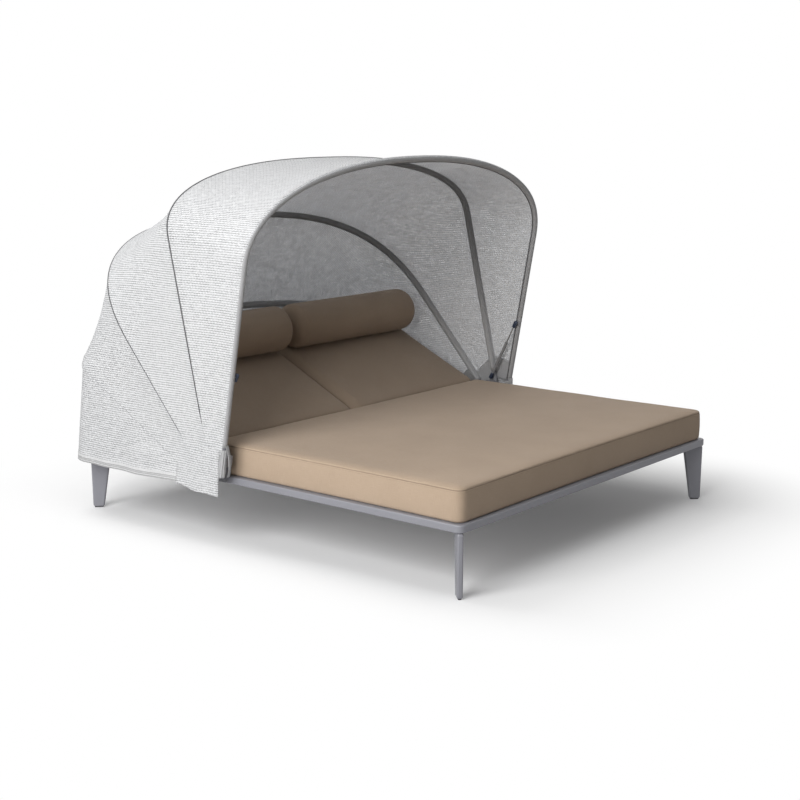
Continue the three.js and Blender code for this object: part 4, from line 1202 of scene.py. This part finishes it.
@dataclass
class PivotCloth:
    """Plain cloth round the pivots: patches inside the panels, the front straps and the cuffs."""

    canopy: Canopy
    patch_radius: float = 0.228
    patch_depth: float = 0.0028
    patch_thickness: float = 0.001
    patch_columns: int = 12
    strap_route: tuple[Place, ...] = (
        (0.9575, 0.004, 0.412), (0.9550, 0.000, 0.392), (0.9520, -0.002, 0.368), (0.9480, 0.000, 0.342),
        (0.9410, 0.008, 0.318), (0.9330, 0.019, 0.297), (0.9260, 0.032, 0.279),
    )
    strap_widths: Profile = ((0.0, 0.0125), (0.35, 0.0085), (0.75, 0.0075), (1.0, 0.0125))
    strap_fold: float = 0.0026
    cuff_foot: float = 0.284
    cuff_top: float = 0.396
    cuff_side: float = 0.0158
    cuff_front: float = 0.0178
    cuff_leg: Profile = ((0.28, 0.0403), (0.389, 0.0193))
    cuff_turn: Pair = (-1.75, 1.65)
    cuff_tail: Pair = (0.004, 0.020)
    pleats: float = 11.0
    pleat_depth: float = 0.08

    def patches(self) -> None:
        """Plain doubled cloth inside the panels round each pivot, out to the patch radius."""
        canopy = self.canopy
        for k in range(3):
            fine = np.linspace(0.0, 0.5, 400)
            radius = np.linalg.norm(HOOPS[k].line(fine)[0][:, 1:] - np.array(PIVOT), axis=-1)
            t = np.linspace(0.0, float(np.interp(self.patch_radius, radius, fine)), self.patch_columns)
            points, share = canopy.panel_points(k, k + 1, t, lift=-self.patch_depth)
            keep = slice(canopy.wrap_rows + 1, -canopy.wrap_rows - 1)
            for side in Side:
                rows = points[keep] * side.mirror
                obj = add_piece(Grid(rows, own_uv(rows)), f"patch_{HOOPS[k].name}_{side.word}",
                                canopy.finishes.patch, CLOTH, flip=side is Side.LEFT)
                canopy.fan(obj, k, k + 1, share[keep], len(t))
                thicken(obj, self.patch_thickness)

    def front_straps(self) -> None:
        """Gathered tails of the front sleeve, which hang ahead of the hoop's feet down to the rail."""
        line = curve_through(np.array(self.strap_route), 6)
        run = lengths(line[None], 1)[0]
        across = unit(np.array([1.0, -0.35, 0.0]))
        out = unit(np.cross(np.gradient(line, axis=0), across))
        width = np.interp(run / run[-1], *zip(*self.strap_widths))
        f = np.linspace(-1, 1, 15)
        twist = 2.6 * math.pi * f[:, None] + 5.0 * run[None] / run[-1]
        fold = self.strap_fold * np.sin(twist) * (1 - 0.3 * f[:, None] ** 2)
        rows = line[None] + across * (f[:, None] * width[None])[..., None] + out[None] * fold[..., None]
        self.pair("front_strap", rows, "hoop_1", self.canopy.tape)

    def pair(self, name: str, rows: Array, body: str, thickness: float) -> None:
        """One piece of patch cloth on each side, from the right one's points."""
        for side in Side:
            points = rows * side.mirror
            add_piece(Grid(points, own_uv(points)), f"{name}_{side.word}", self.canopy.finishes.patch, CLOTH,
                      body, thickness=thickness, flip=side is Side.LEFT)

    def cuffs(self) -> None:
        """Pleated cuffs from the flaps round the front of the first hoop's feet.

        Half an ellipse round the leg's line: x = span + side sin a and y = leg - front cos a, both
        times 1 + pleat sin(pleats a), and a straight tail back to the flap.
        """
        z = np.linspace(self.cuff_foot, self.cuff_top, 15)
        leg = np.interp(z, *zip(*self.cuff_leg))
        turn = np.linspace(*self.cuff_turn, 72)
        pleats = self.pleat_depth * np.sin(self.pleats * turn)
        puff = 1 + pleats[None] * np.linspace(1.0, 0.7, len(z))[:, None]
        grown = puff * (1 + 0.05 * np.cos(math.pi * np.linspace(0, 1, len(z))))[:, None]
        x = HOOP_SPAN + self.cuff_side * np.minimum(np.sin(turn) * grown, 1.02)
        y = leg[:, None] - self.cuff_front * np.cos(turn) * grown
        tail = np.linspace(*self.cuff_tail, 4)
        x = np.concatenate([x, np.full((len(z), len(tail)), x[0, -1])], 1)
        y = np.concatenate([y, y[:, -1:] + tail], 1)
        rows = side_by_side(x, y, z[:, None])
        self.pair("front_cuff", rows, "base", self.patch_thickness)

    def build(self) -> None:
        """Builds the patches, the straps and the cuffs."""
        self.patches()
        self.front_straps()
        self.cuffs()


@dataclass
class Skirt:
    """Cloth below the fixed hoop: the sides and the rear in one sheet, and flaps beside the pivots."""

    canopy: Canopy
    cut: Pair = (0.62, 4.0)
    front_y: float = PIVOT[0] - 0.054
    notch_y: float = PIVOT[0] - 0.064
    hem: float = 0.208
    hem_rise: float = 0.020
    rise_length: float = 0.30
    rear_y: float = BED_FOOT_Y + 2.046
    rear_radius: float = 0.145
    fold_depth: float = 0.010
    fold_pitch: float = 0.19
    stand_off: float = 0.0148
    rows: int = 44
    flap_length: float = 0.226
    flap_lift: float = 0.0026
    hem_band: float = 0.030
    hem_thickness: float = 0.0015
    behind_flap: float = 0.011
    behind_flap_end: float = 0.42
    overlap: float = 0.006
    slack: float = 0.003
    slack_length: float = 0.4
    slack_start: Pair = (0.1, 0.4)
    ripple: float = 0.0016
    ripple_turn: float = 70.0
    ear: float = 0.010
    ear_drop: float = 0.022
    ear_width: float = 0.02
    flap_lobes: tuple[tuple[float, float, float], ...] = ((0.0045, 0.21, 0.025), (-0.004, 0.15, 0.03))
    fold_start: float = 0.15
    fold_change: float = 0.35
    fold_turn: float = 3.1

    @property
    def side(self) -> float:
        """Length of the hem along one side, before the rear corner."""
        return self.rear_y - self.rear_radius - self.front_y

    def hem_points(self, along: Array) -> Array:
        """Hem of the right half in plan: straight back, a quarter circle, then straight across.

        It stands off by stand_off + depth/2 (1 - cos(2 pi along / pitch)) square to that line.
        """
        bend = 0.5 * math.pi * self.rear_radius
        angle = np.clip((along - self.side) / self.rear_radius, 0, 0.5 * math.pi)
        y = self.front_y + np.minimum(along, self.side) + self.rear_radius * np.sin(angle)
        x = HOOP_SPAN - self.rear_radius * (1 - np.cos(angle)) - np.maximum(along - self.side - bend, 0)
        z = self.hem + self.hem_rise * smooth_step(along, 0, self.rise_length)
        z = z + self.behind_flap * (1 - smooth_step(along, self.flap_length, self.behind_flap_end))
        wave = 0.5 * self.fold_depth * (1 - np.cos(2 * math.pi * along / self.fold_pitch))
        swell = 1 - self.fold_change * (1 - np.sin(self.fold_turn * along + 1.0))
        wave = wave * smooth_step(along, 0.0, self.fold_start) * swell
        off = self.stand_off + wave
        return np.stack([x + np.cos(angle) * off, y + np.sin(angle) * off, z], -1)

    def points(self) -> Array:
        """Grid from the fixed hoop's line down to the hem, the right half mirrored to the left."""
        canopy = self.canopy
        fine = even_stations(canopy.columns)[:canopy.columns // 2 + 1]
        centre, out = HOOPS[3].line(fine)
        top = centre + out * (canopy.STAND_OFF + 0.5 * canopy.THICKNESS)
        leg_end = int(np.argmin(np.abs(fine - 1)))
        # The flap's top laps over the panels' lower ends, from the foot of one hoop to the next
        feet = np.array([other.line(np.array([0.0]))[0][0] for other in HOOPS[:3]])
        knots_y = [self.notch_y, *feet[1:, 1], top[0, 1]]
        knots_z = [*(feet[:, 2] + self.overlap), top[0, 2]]
        ys = np.linspace(self.notch_y, top[0, 1], 16)[:-1]
        zs = np.interp(ys, knots_y, knots_z)
        flap = np.stack([np.full_like(ys, HOOP_SPAN + self.stand_off), ys, zs], -1)
        upper = np.concatenate([flap, top])
        first = top[0, 1] - self.notch_y
        share = (top[:leg_end + 1, 1] - top[0, 1]) / (top[leg_end, 1] - top[0, 1])
        legs = first + (self.side - first) * share
        arch = lengths(top[None, leg_end:], 1)[0]
        rest = 0.5 * math.pi * self.rear_radius + HOOP_SPAN - self.rear_radius
        along = np.concatenate([ys - self.notch_y, legs, (self.side + rest * arch / arch[-1])[1:]])
        lower = self.hem_points(along)
        v = np.linspace(0, 1, self.rows)[:, None, None]
        half = upper + (lower - upper) * v
        drop = np.linalg.norm(lower - upper, axis=-1)[None, :]
        run = np.broadcast_to(lengths(upper[None], 1), half.shape[:2])
        away = unit(np.gradient(half, axis=1))
        away = unit(np.cross(away, np.broadcast_to(unit(lower - upper), half.shape)))
        fall = v[..., 0]
        slack = waves(run, fall * drop, 31, self.slack_length) * self.slack * np.sin(math.pi * fall * 0.9)
        half = half + away * slack[..., None] * smooth_step(run, *self.slack_start)[..., None]
        mirrored = half[:, :-1][:, ::-1] * Side.LEFT.mirror
        return np.concatenate([half, mirrored], 1)

    def build(self) -> None:
        """Builds the sheet, its sewn hem and the flaps."""
        points = self.points()
        obj = add_piece(Grid(points, self.uv(points)), "canopy_skirt_cloth", self.canopy.finishes.mesh, CLOTH,
                        "base", "canopy_skirt", self.canopy.THICKNESS)
        declare_sheet(obj, points, self.cut, "hung", ["hoop_4_tube"])
        self.hem_piece(points)
        self.flaps(points)

    @staticmethod
    def uv(points: Array) -> Array:
        """U runs along the hem in plan, V is the height, so the ribs lie level."""
        flat = points * np.array([1.0, 1.0, 0.0])
        run = lengths(flat[-1:], 1)
        return side_by_side(run, points[..., 2])

    def hem_piece(self, points: Array) -> None:
        """Turned-up hem: a closed band of doubled cloth over both faces of the sheet's lowest part."""
        end = points[-1]
        up = unit(points[-6] - end)
        normal = unit(np.cross(np.gradient(end, axis=0), up))
        heights = np.linspace(0.0, self.hem_band, 7)
        face = end[None] + up[None] * heights[:, None, None]
        proud = normal * self.hem_thickness
        band = np.concatenate([(face - proud)[::-1], (end - up * self.canopy.tape)[None], face + proud])
        across = np.concatenate([heights[::-1], [0.0], heights])
        uv = side_by_side(across[:, None], lengths(band, 1))
        add_piece(Grid(band, uv), "skirt_hem", self.canopy.finishes.hem, CLOTH, "base")

    def flaps(self, points: Array) -> None:
        """Second layers over the sheet's front ends, which hang lower, with a wavy lower edge.

        Their upper front corners pull forward as ears, which fade downward and to the rear.
        """
        run = lengths(points[-1:], 1)[0]
        half = points[:, :int(np.searchsorted(run, self.flap_length)) + 1]
        along = run[:half.shape[1]]
        low = half[-1].copy()
        low[:, 2] = self.hem + self.hem_rise * smooth_step(along, 0, self.rise_length)
        low[:, 2] += sum(rise * np.exp(-((along - at) / wide) ** 2) for rise, at, wide in self.flap_lobes)
        v = np.linspace(0, 1, half.shape[0])[:, None]
        grown = half.copy()
        grown[..., 2] += (low[:, 2] - half[-1, :, 2]) * v ** 2
        ripple = self.ripple * np.sin(along * self.ripple_turn) * v
        grown[..., 0] += self.flap_lift + ripple
        fall = lengths(grown, 0)
        grown[..., 1] -= self.ear * np.exp(-fall / self.ear_drop) * np.exp(-along / self.ear_width)
        for side in Side:
            rows = grown * side.mirror
            add_piece(Grid(rows, self.uv(rows)), f"skirt_flap_{side.word}", self.canopy.finishes.mesh, CLOTH,
                      "base", thickness=self.canopy.tape, flip=side is Side.LEFT)


# Cushions


@dataclass(frozen=True)
class Pad:
    """A boxed cushion in its own axes, lying on its foot plane.

    Rings of a rounded rectangle, drawn in between the corners, climb the side from a rounded hem to
    the seam and then close over a crowned top. At inset d from the seam the top is
    lip + (edge - lip) * sqrt(1 - (1 - d/roll)^2) high, and past the roll edge + crown * (1 - share^3).
    """

    x0: float
    x1: float
    y0: float
    y1: float
    foot: float
    seam_height: float = 0.116
    edge: float = 0.016
    lip: float = 0.003
    roll: float = 0.060
    roll_start: float = 0.0015
    side_end: float = 0.008
    least_radius: float = 0.005
    even_foot: float = 0.02
    crown: float = 0.0078
    corner: float = 0.034
    draw_in: float = 0.006
    hem_round: float = 0.012
    bulge: float = 0.002
    wave_height: float = 0.0016
    wave_length: float = 0.30
    pucker_height: float = 0.0011
    pucker_length: float = 0.035
    pucker_reach: float = 0.012
    seed: int = 1
    step: float = 0.012

    def outline(self, inset: float, shrink: float = 1.0) -> tuple[Array, Array]:
        """One ring.

        Args:
            inset: distance inside the cushion's outline.
            shrink: share of the ring's size kept about the middle.

        Returns:
            Points (columns, 2) about the middle and the distance run round the outline.
        """
        half = np.array([self.x1 - self.x0, self.y1 - self.y0]) / 2
        straight = 2 * (half - self.corner)
        quarter = 0.5 * math.pi * self.corner
        total = 2 * straight.sum() + 4 * quarter
        count = int(total / self.step)
        s = np.arange(count) / count * total
        points = np.zeros((count, 2))
        start = 0.0
        radius = max(self.corner - inset, self.least_radius)
        corners = np.array([[1, -1], [1, 1], [-1, 1], [-1, -1]]) * (half - inset - radius)
        for i, centre in enumerate(corners):
            here = (s >= start) & (s < start + quarter)
            angle = 0.5 * math.pi * (i - 1) + (s[here] - start) / self.corner
            points[here] = centre + radius * np.stack([np.cos(angle), np.sin(angle)], -1)
            start += quarter
            side = straight[1 if i % 2 == 0 else 0]
            here = (s >= start) & (s < start + side)
            f = (s[here] - start) / side
            out = 0.5 * math.pi * i
            pull = radius - 4 * self.draw_in * f * (1 - f)
            following = corners[(i + 1) % 4]
            points[here] = centre + (following - centre) * f[:, None] \
                + pull[:, None] * np.array([math.cos(out), math.sin(out)])
            start += side
        return points * shrink, s

    def rings(self) -> list[tuple[float, float, float, float]]:
        """Inset, height above the foot, share kept and distance from the seam, for each ring."""
        rings = [(self.hem_round, 0.0, share, 1.0) for share in (0.02, 0.3, 0.6, 0.85, 0.95)]
        for angle in np.linspace(0, 0.5 * math.pi, 6):
            inset, height = 1 - math.sin(angle), 1 - math.cos(angle)
            rings.append((self.hem_round * inset, self.hem_round * height, 1.0, 1.0))
        low, high = self.hem_round, self.seam_height - self.side_end
        for f in np.linspace(0, 1, 9)[1:]:
            z = low + (high - low) * f
            rings.append((-self.bulge * 4 * f * (1 - f), z, 1.0, self.seam_height - z))
        for gap, inset in ((0.005, 0.0), (0.003, 0.0004), (0.0015, 0.0012), (0.0, 0.0026)):
            rings.append((inset, self.seam_height - gap, 1.0, gap))
        for gap, inset in ((0.0015, 0.0014), (0.003, 0.0012)):
            rings.append((inset, self.seam_height + gap, 1.0, gap))
        for d in (0.0025, 0.005, 0.009, 0.014, 0.020, 0.027, 0.035, 0.044, 0.052, self.roll):
            climb = (self.edge - self.lip) * math.sqrt(max(0.0, 1 - (1 - min(d / self.roll, 1)) ** 2))
            rings.append((self.roll_start + d, self.seam_height + self.lip + climb, 1.0, self.lip + d))
        for share in (0.975, 0.95, 0.92, 0.88, 0.83, 0.77, 0.7, 0.62, 0.53, 0.43, 0.32, 0.2, 0.08, 0.02):
            z = self.seam_height + self.edge + self.crown * (1 - share ** 3)
            rings.append((self.roll_start + self.roll, z, share, 1.0))
        return rings

    def grid(self) -> Grid:
        """The cushion's grid in its own axes, uneven by a few millimetres, with puckers at the seam."""
        rows, uv, seam = [], [], []
        middle = np.array([self.x0 + self.x1, self.y0 + self.y1]) / 2
        for inset, height, share, near in self.rings():
            ring, s = self.outline(inset, share)
            xy = ring + middle
            z = np.full(len(xy), self.foot + height)
            rows.append(np.column_stack([xy, z]))
            around = np.append(s, s[-1] + s[1] - s[0])
            flat_ring = np.vstack([xy, xy[:1]])
            if share < 1 or height >= self.seam_height:
                uv.append(flat_ring)
            else:
                uv.append(np.column_stack([around, np.full(len(around), height)]))
            seam.append(np.column_stack([np.full(len(around), near), around]))
        points = np.array(rows)
        return Grid(self.uneven(points), np.array(uv), closed=True, seam=np.array(seam))

    def uneven(self, points: Array) -> Array:
        """Adds soft unevenness along the normals: long waves all over, and puckers at the seam."""
        normal = unit(np.cross(np.roll(points, -1, 1) - np.roll(points, 1, 1), np.gradient(points, axis=0)))
        height = points[..., 2:3] - self.foot
        level = points[..., 0] + points[..., 2]
        long_waves = waves(level, points[..., 1], self.seed, self.wave_length)[..., None]
        run = lengths(points, 1)[..., None]
        near = np.exp(-np.abs(height - self.seam_height) / self.pucker_reach)
        pucker = waves(run[..., 0], height[..., 0], self.seed + 5, self.pucker_length)[..., None]
        free = smooth_step(height, 0.0, self.even_foot)
        return points + normal * free * (self.wave_height * long_waves + self.pucker_height * near * pucker)


@dataclass
class Cushions:
    """Mattress, the two back cushions and their bolsters."""

    finishes: Finishes
    side_x: float = 0.886
    foot_y: float = BED_FOOT_Y + 0.014
    crease_y: float = BED_FOOT_Y + 1.241
    back_inner_x: float = 0.0022
    back_foot: float = PAD_FOOT - HINGE[1]
    back_front: float = 0.010
    back_head: float = 0.685
    valley_depth: float = 0.020
    valley_reach: float = 0.058
    valley_heights: Pair = (0.06, 0.125)
    nose_reach: float = 0.35
    draw_reach: float = 0.10
    bend_before: float = 0.005
    bend_after: float = 0.10
    bend_height: float = 0.36
    mattress_step: float = 0.014
    bolster_radius: float = 0.102
    bolster_inner: float = 0.020
    bolster_outer: float = 0.880
    bolster_along: float = 0.541
    bolster_up: float = 0.2533
    bolster_flat: float = 0.1618
    dome: float = 0.074
    inner_dome: float = 0.046
    dome_power: float = 2.3
    groove: float = 0.0022
    groove_share: float = 0.035
    lump_share: float = 0.010
    lump_length: float = 0.25
    flat_rise: float = 0.004
    flat_share: float = 0.10
    seam_share: float = 0.96
    bolster_sides: int = 96
    end_rings: int = 16
    middle_rings: int = 44
    nose_profile: Profile = (
        (0.0, 0.030), (0.14, 0.008), (0.3, -0.002), (0.65, 0.0), (1.0, 0.014), (1.2, 0.020))

    def add(self, grid: Grid, name: str, material: Material, fill: float,
            body: str | None = None, flip: bool = False) -> Object:
        """Adds the cover that takes the place of a pad, with its soft declaration."""
        obj = add_piece(grid, f"{name}_cover", material, "pad_cloth", body, name, flip=flip)
        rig.padded(obj, fill=fill)
        return obj

    def mattress(self) -> None:
        """The full-width seat mattress."""
        pad = Pad(-self.side_x, self.side_x, self.foot_y, self.crease_y, PAD_FOOT,
                  step=self.mattress_step)
        self.add(pad.grid(), "seat_mattress", self.finishes.pad, 0.9, "base")

    @staticmethod
    def raised(points: Array) -> Array:
        """Points of a back's own axes, turned up about its hinge."""
        c, s = math.cos(BACK_ANGLE), math.sin(BACK_ANGLE)
        x, y, z = points[..., 0], points[..., 1], points[..., 2]
        return np.stack([x, HINGE[0] + y * c - z * s, HINGE[1] + y * s + z * c], -1)

    def back(self, side: Side) -> None:
        """One back cushion, its nose pressed against the mattress."""
        pad = Pad(self.back_inner_x, self.side_x, self.back_front, self.back_head, self.back_foot,
                  seed=7 if side is Side.LEFT else 8)
        grid = pad.grid()
        points = grid.points
        height = np.clip((points[..., 2] - self.back_foot) / pad.seam_height, 0, 1.2)
        nose = np.interp(height, *zip(*self.nose_profile))
        front = np.clip((self.nose_reach - points[..., 1]) / self.nose_reach, 0, 1) ** 1.5
        points[..., 1] += (nose - self.back_front) * front
        along = np.clip((points[..., 1] - self.back_front) / (self.back_head - self.back_front), 0, 1)
        gap = points[..., 0] - self.back_inner_x
        drawn = 4 * along * (1 - along) * (1 - smooth_step(gap, 0.0, self.draw_reach))
        points[..., 0] -= pad.draw_in * drawn
        high = smooth_step(points[..., 2] - self.back_foot, *self.valley_heights)
        points[..., 2] -= self.valley_depth * high * (1 - smooth_step(gap, 0.0, self.valley_reach)) ** 1.2
        grid.points = self.raised(points)
        grid.points[..., 0] *= side.value
        # Painted shade: the back cushion takes the darker copy of the pad cloth.
        obj = self.add(grid, f"back_cushion_{side.word}", self.finishes.back_pad, 0.8, flip=side is Side.LEFT)
        first, last = self.crease_y - self.bend_before, self.crease_y + self.bend_after
        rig.blend(obj, "base", f"back_{side.word}", start=(0, first, self.bend_height),
                 end=(0, last, self.bend_height))

    def bolster(self, side: Side) -> None:
        """A round bolster with domed ends.

        Radius along it is R at the middle and R sqrt(1 - (1 - d/dome)^power) at d from an end; the
        underside is flattened on the cushion.
        """
        length = self.bolster_outer - self.bolster_inner
        swing = 1 - np.cos(np.linspace(0.03, 0.5 * math.pi, self.end_rings))
        first, last = self.inner_dome * swing, length - (self.dome * swing)[::-1]
        middle = np.linspace(first[-1], last[0], self.middle_rings + 2)[1:-1]
        d = np.concatenate([first, middle, last])
        near = np.minimum(d / self.inner_dome, (length - d) / self.dome)
        radius = self.bolster_radius * np.sqrt(1 - np.clip(1 - near, 0, 1) ** self.dome_power)
        radius = radius - self.groove * np.exp(-((near - self.seam_share) / self.groove_share) ** 2)
        count = self.bolster_sides
        angle = 2 * math.pi * np.arange(count) / count
        x = np.broadcast_to((self.bolster_inner + d)[:, None], (len(d), count))
        around = np.broadcast_to(angle * 0.1, x.shape)
        lump = 1 + self.lump_share * waves(x, around, 21 + side.value, self.lump_length)
        y = self.bolster_along + radius[:, None] * np.cos(angle) * lump
        z = self.bolster_up + radius[:, None] * np.sin(angle) * lump
        share = np.clip(radius / self.bolster_radius, 0, 1)[:, None]
        low = self.bolster_flat + self.flat_rise * (1 - np.sqrt(share))
        z = np.maximum(z, low + self.flat_share * np.maximum(z - low, 0))
        points = self.raised(np.stack([x, y, z], -1))
        points[..., 0] *= side.value
        run = np.arange(count + 1) / count * 2 * math.pi * self.bolster_radius
        uv = side_by_side(run[None], d[:, None])
        gap = np.abs(near - self.seam_share) * self.dome
        seam = side_by_side(gap[:, None], run[None])
        grid = Grid(points, uv, closed=True, seam=seam)
        # Painted shade: the bolster takes the darker copy of the pad cloth.
        self.add(grid, f"bolster_{side.word}", self.finishes.back_pad, 0.9, f"back_{side.word}",
                 flip=side is Side.RIGHT)

    def build(self) -> None:
        """Builds all the pads."""
        self.mattress()
        for side in Side:
            self.back(side)
            self.bolster(side)


# Metalwork


@dataclass
class Metalwork:
    """The frame's own pieces, dressed, and the struts' end fittings."""

    finishes: Finishes
    stud_inset: float = 0.027
    lower_stud: float = 0.1315
    upper_stud: float = 0.420
    boot_sides: int = 18
    boot_profile: Profile = (
        (-0.0112, 0.004), (-0.0105, 0.0078), (-0.008, 0.0090), (0.0, 0.0094),
        (0.010, 0.0090), (0.019, 0.0084), (0.0205, 0.0078), (0.021, 0.006))

    def build(self, nodes: dict[str, Object]) -> None:
        """Gives every kept node its finish.

        Args:
            nodes: the frame's objects by name.
        """
        rules = (
            (("base_frame", "seat_deck", "leg_", "back_panel", "hoop_"), self.finishes.frame),
            (("pivot_bracket", "strut_saddle"), self.finishes.cast),
            (("hinge_", "pivot_nut", "strut_rod"), self.finishes.zinc),
            (("strut_cylinder",), self.finishes.strut),
            (("glide_",), self.finishes.nylon),
            (("seat_mattress", "back_cushion", "bolster"), self.finishes.pad),
            (("canopy_",), self.finishes.mesh),
        )
        for name, obj in nodes.items():
            material = next(material for starts, material in rules if name.startswith(starts))
            if name.startswith("hoop") and "_foot_" in name:
                material = self.finishes.cast
            for slot in obj.material_slots:
                slot.material = material
            log.info("dressed %s", name)
        self.strut_ends()

    def strut_ends(self) -> None:
        """Moulded boots over the eyes at both ends of each gas strut."""
        layer = np.array(HOOP_SPAN - self.stud_inset)
        low = HOOPS[1].placed(layer, np.array(-HOOPS[1].forward), np.array(self.lower_stud))
        high = HOOPS[0].placed(layer, np.array(-HOOPS[0].forward), np.array(self.upper_stud))
        along = unit(high - low)
        ends = (("lower", low, along, "strut_body"), ("upper", high, -along, "strut_piston"))
        steps, radius = np.array(self.boot_profile).T
        for side in Side:
            for place, eye, way, body in ends:
                line = (eye + way * steps[:, None]) * side.mirror
                tube = tube_along(line, radius, self.boot_sides, np.array([[1.0, 0.0, 0.0]]))
                add_piece(tube, f"strut_boot_{place}_{side.word}", self.finishes.fitting, "strut_paint",
                          f"{body}_{side.word}")


# Stage


def aim(name: str, data: bpy.types.ID, place: Place, goal: Place) -> Object:
    """Puts a camera or lamp at a place and turns it to a goal."""
    obj = bpy.data.objects.new(name, data)
    bpy.context.scene.collection.objects.link(obj)
    obj.location = place
    obj.rotation_euler = (Vector(goal) - Vector(place)).to_track_quat("-Z", "Y").to_euler()
    return obj


@dataclass(frozen=True)
class Lamp:
    """One square area lamp, aimed at a goal."""

    name: str
    place: Place
    goal: Place
    size: float
    power: float

    def build(self) -> None:
        """Adds the lamp."""
        data = bpy.data.lights.new(self.name, "AREA")
        data.shape, data.size, data.energy = "SQUARE", self.size, self.power
        aim(self.name, data, self.place, self.goal)


@dataclass
class Studio:
    """Pale floor, soft light from the left and the camera of the photograph.

    The floor keeps its shadow as far as clear_x and clear_y from the middle and turns white over
    the fade from there, twice as fast to the left.
    """

    camera_place: Place = (-4.7675, -3.9326, 1.651)
    camera_goal: Place = (0.6305, 0.4299, 0.3)
    lens: float = 65.13
    sensor: float = 36.0
    ambient: float = 0.125
    lamps: tuple[Lamp, ...] = (
        Lamp("key", (-5.1, -0.7, 2.9), (0.0, -0.1, 0.45), 3.8, 294.0),
        Lamp("top", (0.5, -1.2, 5.5), (0.0, 0.0, 0.3), 5.0, 52.0),
        Lamp("rear", (-0.6, 2.6, 4.2), (0.0, 0.3, 1.0), 2.5, 80.0),
        Lamp("far", (4.8, 2.6, 2.8), (0.0, 0.3, 0.7), 3.0, 30.0),
    )
    floor_reach: float = 30.0
    floor_lit: Colour = (0.60, 0.60, 0.60)
    floor_seen: Colour = (0.94, 0.94, 0.94)
    clear_x: float = 0.75
    clear_y: float = 0.85
    fade: float = 1.0
    least_white: float = 0.10

    def camera(self) -> None:
        """Creates the camera and makes it the scene's own."""
        data = bpy.data.cameras.new("camera")
        data.lens, data.sensor_width, data.sensor_fit = self.lens, self.sensor, "HORIZONTAL"
        bpy.context.scene.camera = aim("camera", data, self.camera_place, self.camera_goal)

    def world(self) -> None:
        """Even grey surroundings that the camera, gloss and clear paths see as white."""
        world = bpy.data.worlds.new("surroundings")
        world.use_nodes = True
        bpy.context.scene.world = world
        s = Shader(world.node_tree)
        soft = s.node("Background", {"Color": WHITE, "Strength": self.ambient})
        white = s.node("Background", {"Color": WHITE, "Strength": 1.0})
        s.output(s.blend(s.seen(), soft, white))

    def floor(self) -> None:
        """A wide floor that turns white away from the bed and keeps the bed's shadow."""
        low, high = -self.floor_reach, self.floor_reach
        square = np.array([[[low, low, 0], [high, low, 0]], [[low, high, 0], [high, high, 0]]])
        obj = Grid(square, square[..., :2]).build("studio_floor")
        material, s = new_material("studio_floor")
        x, y, _ = s.place()
        dx = (x - self.clear_x).most(0.0) + (x * -1.0 - self.clear_x).most(0.0) * 2.0
        dy = (y.abs() - self.clear_y).most(0.0)
        far = (dx * dx + dy * dy).sqrt()
        seen = s.seen()
        share = far.rise(0.0, self.fade).most(self.least_white) * seen
        tone = s.mix(seen, self.floor_lit, self.floor_seen)
        plain = s.node("BsdfDiffuse", {"Color": Sock(s, tone)})
        white = s.node("Emission", {"Color": WHITE, "Strength": 1.0})
        s.output(s.blend(share, plain, white))
        dress(obj, material)
        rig.stage(obj)

    def build(self) -> None:
        """Builds the stage."""
        self.camera()
        self.world()
        for lamp in self.lamps:
            lamp.build()
        self.floor()
        bpy.context.scene.view_settings.view_transform = "Standard"


def corners(box: Sequence[Sequence[float]]) -> list[list[float]]:
    """A box's two corners as plain lists of numbers."""
    return [[float(value) for value in corner] for corner in box]


def main() -> None:
    """Loads the frame, builds every sub-assembly in order and writes the two boxes."""
    logging.basicConfig(level=logging.INFO, format="%(message)s")
    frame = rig.load()
    frame_box = corners(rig.bounds())
    Studio().build()
    finishes = Finishes()
    Metalwork(finishes).build(frame["nodes"])
    Cushions(finishes).build()
    Canopy(finishes).build()
    with open(SIZE_FILE, "w", encoding="utf-8") as file:
        json.dump({"frame": frame_box, "visual": corners(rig.bounds())}, file)


if __name__ == "__main__":
    main()
